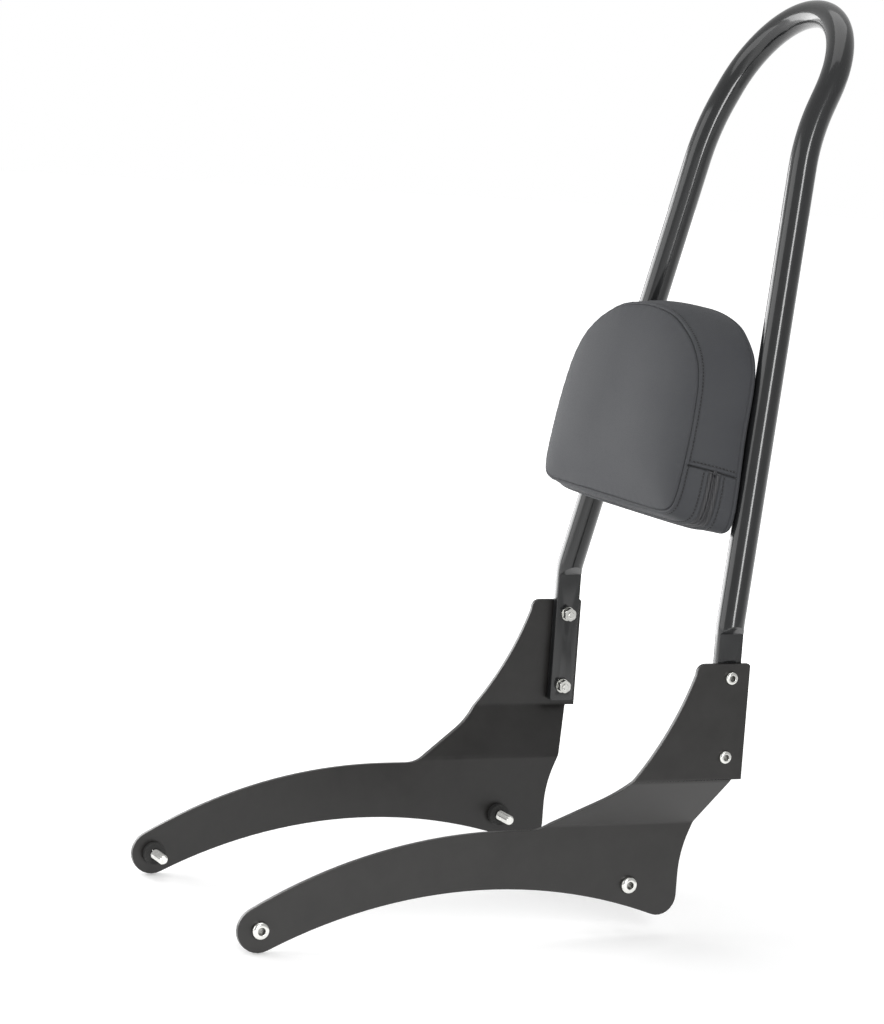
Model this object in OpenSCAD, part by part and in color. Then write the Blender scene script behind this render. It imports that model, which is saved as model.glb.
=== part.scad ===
// Sissy bar: a hoop of bent round bar, bolted by its flattened feet to two folded
// side plates, with a padded backrest on a plate welded between its legs.
// +X is the left side of the motorcycle, +Y points rearward and +Z up.
// The origin lies on the centre plane, in the middle of the four fender screws.

/* [Hoop] */
// Diameter of the round bar
bar_d = 22; // [20:0.5:24]
// Height of the top of the hoop above the fender screws
hoop_top_z = 702; // [640:1:760]
// Lean of the legs, rearward from the feet
leg_lean = 10; // [6:0.5:14]
// Lean of the crown, rearward from the feet
crown_lean = 26; // [20:0.5:30]
// Radius of the arc over the top, at the middle of the bar
crown_r = 77; // [68:1:84]
// Inward lean of the bar just before the top arc
crown_splay = 5.2; // [3:0.1:7]
// Straight length from the crown bend's corner to the top arc
crown_run = 38; // [34:1:60]
// Radius of the bend between leg and crown
crown_bend_r = 190; // [120:5:200]
// Radius of the bend between foot and leg
foot_bend_r = 60; // [40:5:70]
// Thickness left between the two flats of a foot
flat_t = 8; // [6:0.5:10]
// Height of the sloped shoulder above the flats
shoulder_h = 7; // [5:0.5:10]
// Length of the flats from the foot's end to the shoulder
flat_len = 108; // [102:1:112]
// Corner radius at the foot's end
foot_corner_r = 3; // [1:0.5:5]

/* [Side plates] */
// Width over the outer faces of the two upper panels
plates_w = 292.8; // [270:0.2:320]
// Thickness of the side plates
plate_t = 4; // [3:0.5:5]
// Distance that the lower panel is folded inward
fold_inset = 26; // [15:0.5:32]
// Height of the upper fold above the fender screws
upper_fold_z = 98; // [92:0.5:100]
// Height of the sloped panel between the folds
fold_drop = 38.5; // [34:0.5:42]
// Inside radius of both folds
fold_r = 4; // [2:0.5:6]
// Height of the plate's top edge above the fender screws
plate_top_z = 189.6; // [186:0.2:196]
// Plate edge behind the middle of the hoop's foot
rear_margin = 16.5; // [14:0.5:22]
// Step in the rear edge at the upper fold
notch_step = 8.5; // [4:0.5:12]
// Length of the top edge
top_edge_len = 43.5; // [34:0.5:48]
// Rounding of the front top corner
top_corner_r = 8; // [2:0.5:10]
// Radius of the hollow front edge of the upper panel
front_edge_r = 260; // [200:5:320]
// Radius of the plate's front end around the screw
front_lobe_r = 17.5; // [15:0.5:20]
// Radius of the plate's rear lower corner
rear_lobe_r = 15.5; // [10:0.5:20]

/* [Fender screws] */
// Distance between the two screws of a side, along the motorcycle
screw_span = 304.4; // [290:0.2:320]
// Height of the rear screw above the front one
screw_rise = 22.8; // [16:0.2:30]
// Thread diameter of the fender screws
fender_screw_d = 8; // [6:1:8]
// Length of the fender screws under the head
fender_screw_len = 30; // [25:1:40]
// Length of the spacer between plate and fender
spacer_len = 6; // [3:0.5:10]
// Outer diameter of the spacer
spacer_d = 18; // [15:0.5:20]

/* [Hoop screws] */
// Thread diameter of the screws through the feet
hoop_screw_d = 6; // [5:1:6]
// Height of the lower screw above the fender screws
low_screw_z = 116.6; // [114:0.2:120]
// Distance between the two screws of a foot
hoop_screw_pitch = 61.9; // [50:0.1:64]
// Clearance of a screw in its hole, on the diameter
hole_play = 0.6; // [0.2:0.1:1]

/* [Backrest pad] */
// Depth from the back of the pad to its front seam
pad_depth = 47; // [40:1:56]
// Swell of the front panel in front of the seam
pad_swell = 9; // [4:1:14]
// Distance of the pad's lower edge along the leg from the foot bend
pad_low = 66; // [62:1:80]
// Height of the pad along the legs
pad_h = 170; // [150:1:176]
// How far the pad's sides stay inside the middle of the legs
pad_side_in = 3; // [1:0.5:10]
// Radius of the pad's arched top
pad_top_r = 240; // [200:5:320]
// Radius of the pad's upper corners
pad_corner_r = 60; // [48:1:66]
// Radius of the pad's lower corners
pad_low_corner_r = 22; // [12:1:28]
// Thickness of the cover material
cover_t = 1.4; // [1:0.1:2]
// Thickness of the board inside the pad
board_t = 9; // [6:0.5:12]
// Width of the zip on the pad's lower side
zip_w = 12; // [8:1:14]
// How far the zip runs up the pad's sides
zip_rise = 44; // [30:1:52]
// Thickness of the carrier plate
carrier_t = 4; // [3:0.5:5]
// Carrier plate's edge below the lower pad screws
carrier_low_edge = 22; // [14:1:26]
// Carrier plate's edge above the upper pad screws
carrier_high_edge = 14; // [12:1:20]
// Thread diameter of the pad screws
pad_screw_d = 6; // [5:1:6]
// Distance between the pad screws, across
pad_screw_span_x = 100; // [80:1:120]
// Distance between the pad screws, along the legs
pad_screw_span_w = 60; // [40:1:64]

/* [Hidden] */
$fn = 64;
plate_x = plates_w / 2;
lower_x = plate_x - fold_inset;
lower_fold_z = upper_fold_z - fold_drop;
low_screw = [screw_span / 2, screw_rise / 2];
foot_x = plate_x - plate_t - flat_t / 2;
foot_y = 213.5;
foot_end_z = upper_fold_z + 6;
shoulder_z = foot_end_z + flat_len;
foot_corner = [foot_x, foot_y, shoulder_z + 5];
bar_r = bar_d / 2;
rear_y = foot_y + rear_margin;

// Crown: its own plane leans by crown_lean
crown_up = [0, sin(crown_lean), cos(crown_lean)];
crown_dir = [-sin(crown_splay), 0, 0] + cos(crown_splay) * crown_up;
kink_x = crown_r * cos(crown_splay) + crown_run * sin(crown_splay);
crown_rise = crown_run * cos(crown_splay) + crown_r * (1 - sin(crown_splay));
kink_z = hoop_top_z - bar_r * sin(90 - crown_lean) - crown_rise * cos(crown_lean) - 0.5;
leg_up = [0, sin(leg_lean), cos(leg_lean)];
leg_rise = (kink_z - foot_corner[2]) / cos(leg_lean);
leg_splay = atan2(foot_x - kink_x, leg_rise);
leg_dir = [-sin(leg_splay), 0, 0] + cos(leg_splay) * leg_up;
leg_len = leg_rise / cos(leg_splay);
kink = foot_corner + leg_len * leg_dir;
arc_start = kink + crown_run * crown_dir;
crown_c = [0, arc_start[1], arc_start[2]] - crown_r * sin(crown_splay) * crown_up;

// Screw sizes by thread diameter: head width and height, hex socket, nut and washer
function head_w(d) = d * 1.75;
function head_h(d) = d * 0.55;
function socket_w(d) = d == 8 ? 5 : d == 6 ? 4 : 3;
function thread_d(d) = d * 0.9;
function nut_w(d) = d == 8 ? 13 : d == 6 ? 10 : 8;
function nut_h(d) = d * 0.85;
function washer_w(d) = d * 2;
washer_t = 1.2;

// Points of an arc about c, from one angle to another
function arc(c, r, from, to, n) =
    [for (i = [0:n]) c + r * [cos(from + (to - from) * i / n), sin(from + (to - from) * i / n)]];

// Centre of the arc of radius r through a and b, on the left of the way from a to b
function arc_centre(a, b, r) =
    let (m = (a + b) / 2, d = b - a, h = sqrt(r * r - d * d / 4))
    m + h * [-d[1], d[0]] / norm(d);

function heading(a, b) = atan2(b[1] - a[1], b[0] - a[0]);

// Side view of a plate, in Y and Z
arm_top_c = [46, -372.8];
arm_low_c = [32, -408.8];
arm_top_r = norm(arm_top_c + low_screw) + front_lobe_r;
arm_low_r = norm(arm_low_c + low_screw) - front_lobe_r;
top_front = [rear_y - top_edge_len, plate_top_z];
throat = [137, upper_fold_z + 1.5];
front_c = arc_centre(throat, top_front, front_edge_r);
throat_heading = heading(front_c, throat) + 90;
throat_r = 80;
ramp_heading = 30;
ramp_top = throat + throat_r * [
    sin(ramp_heading) - sin(throat_heading), cos(throat_heading) - cos(ramp_heading)
];
throat_c = throat + throat_r * [-sin(throat_heading), cos(throat_heading)];
arm_peak_z = arm_top_c[1] + arm_top_r;
ramp_foot_y = ramp_top[0] - (ramp_top[1] - arm_peak_z) / tan(ramp_heading);
ramp_foot_r = 25;
ramp_foot_t = ramp_foot_r * tan(ramp_heading / 2);
rear_lobe_y = 180;
rear_lobe_c = [
    rear_lobe_y,
    arm_low_c[1] + sqrt(pow(arm_low_r + rear_lobe_r, 2) - pow(rear_lobe_y - arm_low_c[0], 2))
];
notch_in = [rear_y - notch_step, upper_fold_z + 0.6];
rear_low_y = rear_lobe_y + rear_lobe_r;
rear_slope = 22.4;
rear_bend_r = 90;
rear_bend_z = notch_in[1] - (notch_in[0] - rear_low_y) / tan(rear_slope);
rear_bend_t = rear_bend_r * tan(rear_slope / 2);
front_screw = -low_screw;

side_outline = concat(
    [[rear_y, notch_in[1]], [rear_y, plate_top_z - 1.5], [rear_y - 1.5, plate_top_z]],
    arc(top_front + top_corner_r * [0.62, -1], top_corner_r, 90, 160, 6),
    arc(front_c, front_edge_r, heading(front_c, top_front) - 2, heading(front_c, throat), 14),
    arc(throat_c, throat_r, throat_heading - 90, ramp_heading - 90, 6),
    arc(
        [ramp_foot_y - ramp_foot_t, arm_peak_z + ramp_foot_r],
        ramp_foot_r, ramp_heading - 90, -90, 4
    ),
    arc(arm_top_c, arm_top_r, 90, heading(arm_top_c, front_screw), 20),
    arc(
        front_screw, front_lobe_r,
        heading(arm_top_c, front_screw), heading(arm_low_c, front_screw) + 180, 14
    ),
    arc(arm_low_c, arm_low_r, heading(arm_low_c, front_screw), heading(arm_low_c, rear_lobe_c), 28),
    arc(rear_lobe_c, rear_lobe_r, heading(arm_low_c, rear_lobe_c) - 180, 0, 8),
    arc(
        [rear_low_y + rear_bend_r, rear_bend_z - rear_bend_t],
        rear_bend_r, 180, 180 - rear_slope, 8
    ),
    [notch_in]
);

// End view of a plate: a strip folded twice, in X and Z
fold_angle = atan2(fold_inset, fold_drop);
fold_out_r = fold_r + plate_t;
fold_t = fold_out_r * tan(fold_angle / 2);
upper_fold_c = [plate_x - fold_out_r, upper_fold_z + fold_t];
lower_fold_t = fold_r * tan(fold_angle / 2);
lower_fold_c = [lower_x + fold_r, lower_fold_z - lower_fold_t];
strip_outline = concat(
    [[plate_x, plate_top_z + 5]],
    arc(upper_fold_c, fold_out_r, 0, -fold_angle, 8),
    arc(lower_fold_c, fold_r, 180 - fold_angle, 180, 8),
    [[lower_x, -60], [lower_x - plate_t, -60]],
    arc(lower_fold_c, fold_out_r, 180, 180 - fold_angle, 8),
    arc(upper_fold_c, fold_r, -fold_angle, 0, 8),
    [[plate_x - plate_t, plate_top_z + 5]]
);

// A straight length of bar between two points. Where it meets a bend it reaches a little way
// into it, a hair thinner, so that both join into one solid.
lap = 1.5;
hair = 0.16;
module bar_run(from, to, d, lap_from = lap) {
    v = to - from;
    u = v / norm(v);
    translate(from - lap_from * u) rotate([0, acos(u[2]), atan2(u[1], u[0])]) rotate([0, 0, 90])
        cylinder(d = d - hair, h = norm(v) + lap_from + lap);
}

// A bend of the bar at a corner, from direction u to direction v
module bar_bend(corner, u, v, r, d) {
    turn = acos(u * v);
    start = corner - u * r * tan(turn / 2);
    inward = (v - u * cos(turn)) / sin(turn);
    centre = start + r * inward;
    side = cross(-inward, u);
    multmatrix([
        [-inward[0], u[0], side[0], centre[0]],
        [-inward[1], u[1], side[1], centre[1]],
        [-inward[2], u[2], side[2], centre[2]]
    ])
        rotate_extrude(angle = turn) translate([r, 0]) circle(d = d);
}

// Where each straight length starts and ends
foot_tan = foot_bend_r * tan(acos(leg_dir[2]) / 2);
kink_tan = crown_bend_r * tan(acos(leg_dir * crown_dir) / 2);
leg_start = foot_corner + foot_tan * leg_dir;
leg_end = kink - kink_tan * leg_dir;

module leg(d = bar_d) {
    bar_run([foot_x, foot_y, foot_end_z], foot_corner - [0, 0, foot_tan], d, 0);
    bar_bend(foot_corner, [0, 0, 1], leg_dir, foot_bend_r, d);
    bar_run(leg_start, leg_end, d);
    bar_bend(kink, leg_dir, crown_dir, crown_bend_r, d);
    bar_run(kink + kink_tan * crown_dir, arc_start, d);
}

module crown() {
    translate(crown_c) rotate([90 - crown_lean, 0, 0])
        rotate([0, 0, crown_splay])
            rotate_extrude(angle = 180 - 2 * crown_splay) translate([crown_r, 0]) circle(d = bar_d);
}

// What is cut away on one side of a foot: the flat and the sloped shoulder above it
module foot_cut() {
    translate([foot_x, foot_y + bar_d, 0]) rotate([90, 0, 0]) linear_extrude(2 * bar_d)
        polygon([
            [flat_t / 2, foot_end_z - 5],
            [flat_t / 2, shoulder_z],
            [flat_t / 2 + 12, shoulder_z + 12 * shoulder_h / (bar_r - flat_t / 2)],
            [flat_t / 2 + 12, foot_end_z - 5]
        ]);
}

module foot_corner_cut(side) {
    r = foot_corner_r;
    translate([foot_x, foot_y + side * (bar_r - r), foot_end_z + r]) rotate([0, 90, 0])
        difference() {
            translate([0, side > 0 ? 0 : -r - 2, -bar_r - 1]) cube([r + 2, r + 2, bar_d + 2]);
            translate([0, 0, -bar_r - 2]) cylinder(r = r, h = bar_d + 4);
        }
}

module half_hoop() {
    difference() {
        leg();
        foot_cut();
        translate([2 * foot_x, 0, 0]) mirror([1, 0, 0]) foot_cut();
        for (z = [low_screw_z, low_screw_z + hoop_screw_pitch])
            translate([foot_x - bar_d, foot_y, z]) rotate([0, 90, 0])
                cylinder(d = hoop_screw_d + hole_play, h = 2 * bar_d);
        foot_corner_cut(1);
        foot_corner_cut(-1);
    }
}

module hoop() {
    color("#232426") union() {
        half_hoop();
        mirror([1, 0, 0]) half_hoop();
        crown();
    }
}

// Places children in the plane of the legs: X across, Y up along the lean, Z forward
module in_leg_plane(forward = 0) {
    translate([0, foot_corner[1], foot_corner[2]]) rotate([90 - leg_lean, 0, 0])
        translate([0, 0, forward]) children();
}

function leg_x_at(w) = foot_x - w * tan(leg_splay);

pad_mid_w = pad_low + pad_h / 2 - 5.5;
carrier_front = bar_r + 0.5;
carrier_low = pad_mid_w - pad_screw_span_w / 2 - carrier_low_edge;
carrier_high = pad_mid_w + pad_screw_span_w / 2 + carrier_high_edge;
pad_holes = [
    for (sx = [-1, 1], sw = [-1, 1]) [sx * pad_screw_span_x / 2, pad_mid_w + sw * pad_screw_span_w / 2]
];

module carrier_plate() {
    edge_in = 7;
    low_x = leg_x_at(carrier_low) - edge_in;
    high_x = leg_x_at(carrier_high) - edge_in;
    color("#232426") difference() {
        in_leg_plane(carrier_front - carrier_t) linear_extrude(carrier_t) difference() {
            polygon([
                [-low_x, carrier_low], [low_x, carrier_low],
                [high_x, carrier_high], [-high_x, carrier_high]
            ]);
            for (p = pad_holes) translate(p) circle(d = pad_screw_d + hole_play);
        }
        leg(bar_d + 0.06);
        mirror([1, 0, 0]) leg(bar_d + 0.06);
    }
}

module side_plate() {
    strip_from = -low_screw[0] - 3 * front_lobe_r;
    strip_len = rear_y + rear_margin - strip_from;
    difference() {
        intersection() {
            translate([0, strip_from, 0]) mirror([0, 1, 0]) rotate([90, 0, 0])
                linear_extrude(strip_len) polygon(strip_outline);
            translate([lower_x - 20, 0, 0]) rotate([90, 0, 90])
                linear_extrude(fold_inset + 60) polygon(side_outline);
        }
        for (s = [-1, 1])
            translate([lower_x - 20, s * low_screw[0], s * low_screw[1]]) rotate([0, 90, 0])
                cylinder(d = fender_screw_d + hole_play, h = 40);
        for (z = [low_screw_z, low_screw_z + hoop_screw_pitch])
            translate([plate_x - 20, foot_y, z]) rotate([0, 90, 0])
                cylinder(d = hoop_screw_d + hole_play, h = 40);
    }
}

module side_plate_left() {
    color("#2b2a2a") side_plate();
}

module side_plate_right() {
    color("#2b2a2a") mirror([1, 0, 0]) side_plate();
}

// A button-head screw with its head's seat at the origin and its shank along -X. The thread
// beyond the plain length has its mean diameter.
module button_screw(d, len, plain) {
    h = head_h(d);
    w = head_w(d);
    dome_r = (pow(w / 2, 2) - pow(w * 0.26, 2) + pow(h * 0.86, 2)) / (2 * h * 0.86);
    difference() {
        union() {
            rotate([0, 90, 0]) cylinder(d = w, h = h * 0.14);
            intersection() {
                translate([h * 0.14, 0, 0]) rotate([0, 90, 0]) cylinder(d = w, h = h * 0.86);
                translate([h - sqrt(pow(dome_r, 2) - pow(w * 0.26, 2)), 0, 0]) rotate([0, 90, 0])
                    rotate_extrude() intersection() {
                        circle(r = dome_r, $fn = 128);
                        translate([0, -dome_r]) square([dome_r, 2 * dome_r]);
                    }
            }
            translate([-plain, 0, 0]) rotate([0, 90, 0]) cylinder(d = d, h = plain);
            translate([-len, 0, 0]) rotate([0, 90, 0]) cylinder(d = thread_d(d), h = len);
        }
        translate([h * 0.35, 0, 0]) rotate([0, 90, 0])
            cylinder(d = socket_w(d) / cos(30), h = h, $fn = 6);
    }
}

// A hexagon nut with its seat at the origin, reaching along -X
module nut(d) {
    rotate([0, -90, 0]) difference() {
        intersection() {
            cylinder(d = nut_w(d) / cos(30), h = nut_h(d), $fn = 6);
            cylinder(d1 = nut_w(d) / cos(30) + 3, d2 = nut_w(d) * 0.98, h = nut_h(d) + 0.8);
        }
        translate([0, 0, -1]) cylinder(d = thread_d(d) + 0.1, h = nut_h(d) + 3);
    }
}

module washer(d, w, t) {
    rotate([0, -90, 0]) difference() {
        cylinder(d = w, h = t);
        translate([0, 0, -1]) cylinder(d = d + 0.4, h = t + 2);
    }
}

hoop_screw_len = plate_t + flat_t + washer_t + nut_h(hoop_screw_d) + 1.6;

module at_hoop_screw(side, upper) {
    mirror([side > 0 ? 0 : 1, 0, 0])
        translate([plate_x, foot_y, low_screw_z + upper * hoop_screw_pitch]) children();
}

module hoop_screw(side, upper) {
    color("silver") at_hoop_screw(side, upper)
        button_screw(hoop_screw_d, hoop_screw_len, plate_t + flat_t);
}

module hoop_washer(side, upper) {
    color("silver") at_hoop_screw(side, upper)
        translate([-plate_t - flat_t, 0, 0]) washer(hoop_screw_d, washer_w(hoop_screw_d), washer_t);
}

module hoop_nut(side, upper) {
    color("silver") at_hoop_screw(side, upper)
        translate([-plate_t - flat_t - washer_t, 0, 0]) nut(hoop_screw_d);
}

module at_fender_screw(side, rear) {
    mirror([side > 0 ? 0 : 1, 0, 0]) translate([lower_x, rear * low_screw[0], rear * low_screw[1]])
        children();
}

module fender_screw(side, rear) {
    color("silver") at_fender_screw(side, rear)
        button_screw(fender_screw_d, fender_screw_len, plate_t + spacer_len);
}

module fender_spacer(side, rear) {
    color("#1c1c1c") at_fender_screw(side, rear)
        translate([-plate_t, 0, 0]) washer(fender_screw_d, spacer_d, spacer_len);
}

// Outline of the pad in the plane of the legs, drawn in by a margin
module pad_outline(margin) {
    side_n = [cos(leg_splay), sin(leg_splay)];
    side_c = side_n * [leg_x_at(0) - pad_side_in, 0];
    top_c = [0, pad_low + pad_h - pad_top_r];
    reach = pad_top_r - pad_corner_r;
    lift = asin((side_c - pad_corner_r - side_n * top_c) / reach) - leg_splay;
    upper_c = top_c + reach * [sin(lift), cos(lift)];
    lower_y = pad_low + pad_low_corner_r;
    lower_c = [(side_c - pad_low_corner_r - side_n[1] * lower_y) / side_n[0], lower_y];
    low = arc(lower_c, pad_low_corner_r - margin, -90, leg_splay, 6);
    corner = arc(upper_c, pad_corner_r - margin, leg_splay, 90 - lift, 10);
    top = arc(top_c, pad_top_r - margin, 90 - lift, 90, 8);
    right = concat(low, corner, top);
    polygon(concat(right, [for (i = [len(right) - 1:-1:0]) [-right[i][0], right[i][1]]]));
}

// The pad's block with its swollen front, every face drawn in by a margin
module pad_block(margin) {
    reach = (leg_x_at(pad_mid_w) + pad_h / 2) / 2;
    swell_r = (pow(reach, 2) + pow(pad_swell, 2)) / (2 * pad_swell);
    intersection() {
        translate([0, 0, margin]) linear_extrude(pad_depth + pad_swell) pad_outline(margin);
        translate([0, pad_mid_w, pad_depth + pad_swell - swell_r]) rotate([90, 0, 0])
            sphere(r = swell_r - margin, $fn = 300);
    }
}

module pad_hole_row(d, from, to) {
    for (p = pad_holes) translate([p[0], p[1], from]) cylinder(d = d, h = to - from);
}

board_gap = 0.2;
board_back = cover_t + board_gap;
tee_flange_d = 19;
tee_flange_t = 1.2;
tee_barrel_d = pad_screw_d + 2;
pad_screw_len = carrier_t + cover_t + board_t + 2;

module pad_cover() {
    color("#4b4c4f") in_leg_plane(carrier_front) difference() {
        pad_block(0);
        pad_block(cover_t);
        pad_hole_row(pad_screw_d + 2 * hole_play, -1, cover_t + 1);
    }
}

module pad_foam() {
    color("#d8cf9a") in_leg_plane(carrier_front) difference() {
        pad_block(cover_t + 0.25);
        translate([-plate_x, 0, -1])
            cube([plates_w, pad_low + pad_h, board_back + board_t + board_gap + 1]);
        pad_hole_row(tee_flange_d + 1, 0, board_back + board_t + tee_flange_t + 0.5);
        pad_hole_row(pad_screw_d + 1.5, 0, pad_screw_len + 2);
    }
}

module pad_board() {
    color("#b58e5c") in_leg_plane(carrier_front) difference() {
        translate([0, 0, board_back]) linear_extrude(board_t) pad_outline(cover_t + 2.6);
        pad_hole_row(tee_barrel_d + 0.1, 0, board_back + board_t + 1);
    }
}

module pad_zip() {
    zip_from = pad_depth / 2 - zip_w / 2;
    color("#1b1b1c") in_leg_plane(carrier_front) intersection() {
        difference() {
            translate([0, 0, zip_from]) linear_extrude(zip_w) pad_outline(-1);
            translate([0, 0, zip_from - 1]) linear_extrude(zip_w + 2) pad_outline(-0.1);
        }
        translate([-plate_x, 0, 0]) cube([plates_w, pad_low + zip_rise, pad_depth]);
    }
}

module at_pad_screw(side, upper) {
    p = [side * pad_screw_span_x / 2, pad_mid_w + (upper - 0.5) * pad_screw_span_w];
    in_leg_plane(carrier_front) translate([p[0], p[1], 0]) rotate([0, 90, 0]) children();
}

module pad_screw(side, upper) {
    color("silver") at_pad_screw(side, upper)
        translate([carrier_t + washer_t, 0, 0])
            button_screw(pad_screw_d, pad_screw_len + washer_t, carrier_t + washer_t);
}

module pad_washer(side, upper) {
    color("silver") at_pad_screw(side, upper)
        translate([carrier_t + washer_t, 0, 0]) washer(pad_screw_d, washer_w(pad_screw_d) + 4, washer_t);
}

// A tee nut: a thin flange in front of the board and a barrel through it
module tee_nut(side, upper) {
    color("silver") at_pad_screw(side, upper) rotate([0, -90, 0])
        translate([0, 0, board_back + board_t]) difference() {
            union() {
                cylinder(d = tee_flange_d, h = tee_flange_t);
                translate([0, 0, 1 - board_t]) cylinder(d = tee_barrel_d, h = board_t);
            }
            translate([0, 0, -board_t]) cylinder(d = thread_d(pad_screw_d) + 0.1, h = board_t + 5);
        }
}

hoop();
carrier_plate();
side_plate_left();
side_plate_right();
hoop_screw(1, 1);  // hoop_screw_left_upper
hoop_screw(1, 0);  // hoop_screw_left_lower
hoop_screw(-1, 1);  // hoop_screw_right_upper
hoop_screw(-1, 0);  // hoop_screw_right_lower
hoop_washer(1, 1);  // hoop_washer_left_upper
hoop_washer(1, 0);  // hoop_washer_left_lower
hoop_washer(-1, 1);  // hoop_washer_right_upper
hoop_washer(-1, 0);  // hoop_washer_right_lower
hoop_nut(1, 1);  // hoop_nut_left_upper
hoop_nut(1, 0);  // hoop_nut_left_lower
hoop_nut(-1, 1);  // hoop_nut_right_upper
hoop_nut(-1, 0);  // hoop_nut_right_lower
fender_screw(1, -1);  // fender_screw_left_front
fender_screw(1, 1);  // fender_screw_left_rear
fender_screw(-1, -1);  // fender_screw_right_front
fender_screw(-1, 1);  // fender_screw_right_rear
fender_spacer(1, -1);  // fender_spacer_left_front
fender_spacer(1, 1);  // fender_spacer_left_rear
fender_spacer(-1, -1);  // fender_spacer_right_front
fender_spacer(-1, 1);  // fender_spacer_right_rear
pad_cover();
pad_zip();
pad_foam();
pad_board();
pad_screw(1, 1);  // pad_screw_left_upper
pad_screw(1, 0);  // pad_screw_left_lower
pad_screw(-1, 1);  // pad_screw_right_upper
pad_screw(-1, 0);  // pad_screw_right_lower
pad_washer(1, 1);  // pad_washer_left_upper
pad_washer(1, 0);  // pad_washer_left_lower
pad_washer(-1, 1);  // pad_washer_right_upper
pad_washer(-1, 0);  // pad_washer_right_lower
tee_nut(1, 1);  // tee_nut_left_upper
tee_nut(1, 0);  // tee_nut_left_lower
tee_nut(-1, 1);  // tee_nut_right_upper
tee_nut(-1, 0);  // tee_nut_right_lower
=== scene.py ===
"""Sissy bar: the looks of the bent hoop, the folded side plates, their screws and the padded
backrest."""

from bisect import bisect_right
from math import atan2, cos, exp, pi, radians, sin, sqrt, tan

import bpy
from mathutils import Matrix, Vector, kdtree


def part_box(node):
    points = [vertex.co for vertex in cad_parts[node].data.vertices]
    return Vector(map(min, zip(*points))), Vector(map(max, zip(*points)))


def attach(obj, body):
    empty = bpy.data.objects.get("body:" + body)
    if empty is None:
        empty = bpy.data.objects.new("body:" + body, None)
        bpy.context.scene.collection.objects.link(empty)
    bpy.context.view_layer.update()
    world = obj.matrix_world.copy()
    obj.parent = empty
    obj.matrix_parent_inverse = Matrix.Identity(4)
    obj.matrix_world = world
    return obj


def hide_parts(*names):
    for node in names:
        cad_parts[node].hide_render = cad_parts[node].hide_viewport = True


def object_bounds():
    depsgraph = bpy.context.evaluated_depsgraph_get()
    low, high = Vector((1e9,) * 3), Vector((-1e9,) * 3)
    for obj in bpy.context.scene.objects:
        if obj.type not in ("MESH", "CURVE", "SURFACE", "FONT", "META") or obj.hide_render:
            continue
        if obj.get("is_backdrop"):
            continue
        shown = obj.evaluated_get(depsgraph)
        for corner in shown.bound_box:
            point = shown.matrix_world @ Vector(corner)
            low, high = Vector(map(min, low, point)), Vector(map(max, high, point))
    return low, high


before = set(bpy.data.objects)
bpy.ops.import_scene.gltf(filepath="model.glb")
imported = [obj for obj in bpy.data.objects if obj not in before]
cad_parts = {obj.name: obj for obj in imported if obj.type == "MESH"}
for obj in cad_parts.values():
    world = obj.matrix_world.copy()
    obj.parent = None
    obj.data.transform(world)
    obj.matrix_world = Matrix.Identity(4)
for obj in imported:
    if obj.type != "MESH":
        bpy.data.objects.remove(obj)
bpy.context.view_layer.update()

bl_info = {
    "name": "Sissy Bar",
    "version": (1, 0, 0),
    "blender": (4, 5, 0),
    "location": "3D View > Sidebar > Sissy Bar",
    "description": "Builds a motorcycle sissy bar with a padded backrest, piece by piece",
    "category": "Object",
}

MM = 0.001

# Where the legs lean back from: the plane of the legs starts at the foot bends
LEG_LEAN = radians(10)
FOOT_BEND = Vector((0.1384, 0.2135, 0.217))
LEG_UP = Vector((0, sin(LEG_LEAN), cos(LEG_LEAN)))
LEG_FRONT = Vector((0, -cos(LEG_LEAN), sin(LEG_LEAN)))
SIDES = {"left": 1, "right": -1}


# Small tools for the mesh work

def linear(hex_colour):
    """An sRGB hex colour as the linear red, green, blue and alpha that Blender reads."""
    parts = [int(hex_colour[i:i + 2], 16) / 255 for i in (1, 3, 5)]
    curve = [c / 12.92 if c <= 0.04045 else ((c + 0.055) / 1.055) ** 2.4 for c in parts]
    return tuple(curve + [1.0])


def only(piece):
    """Makes one object the whole selection and the active one."""
    if bpy.context.object and bpy.context.object.mode != "OBJECT":
        bpy.ops.object.mode_set(mode="OBJECT")
    bpy.ops.object.select_all(action="DESELECT")
    piece.hide_set(False)
    piece.select_set(True)
    bpy.context.view_layer.objects.active = piece


def edit(piece, select="DESELECT"):
    """Opens a piece in edit mode, with nothing or everything in it selected."""
    only(piece)
    bpy.ops.object.mode_set(mode="EDIT")
    bpy.ops.mesh.select_mode(type="VERT")
    bpy.ops.mesh.select_all(action=select)


def leave():
    bpy.ops.object.mode_set(mode="OBJECT")


def pick(piece, wanted):
    """Opens a piece in edit mode with the vertices selected that wanted() is true for."""
    only(piece)
    for part in (piece.data.vertices, piece.data.edges, piece.data.polygons):
        part.foreach_set("select", [False] * len(part))
    for vertex in piece.data.vertices:
        vertex.select = bool(wanted(vertex.co))
    bpy.ops.object.mode_set(mode="EDIT")
    bpy.ops.mesh.select_mode(type="VERT")


def face_out(piece):
    """Turns all faces of a piece outward."""
    edit(piece, select="SELECT")
    bpy.ops.mesh.normals_make_consistent(inside=False)
    leave()


def merge(piece, distance, then, **settings):
    """Merges points closer than this distance and then runs a mesh operator on the whole piece."""
    edit(piece, select="SELECT")
    bpy.ops.mesh.remove_doubles(threshold=distance)
    then(**settings)
    leave()


def freeze(piece):
    """Puts the piece's place, turn and size into its mesh."""
    only(piece)
    bpy.ops.object.transform_apply(location=True, rotation=True, scale=True)


def apply_modifier(piece, kind, **settings):
    """Adds a modifier with these settings and applies it."""
    only(piece)
    modifier = piece.modifiers.new(kind.title(), kind)
    for name, value in settings.items():
        setattr(modifier, name, value)
    bpy.ops.object.modifier_apply(modifier=modifier.name)


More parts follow.
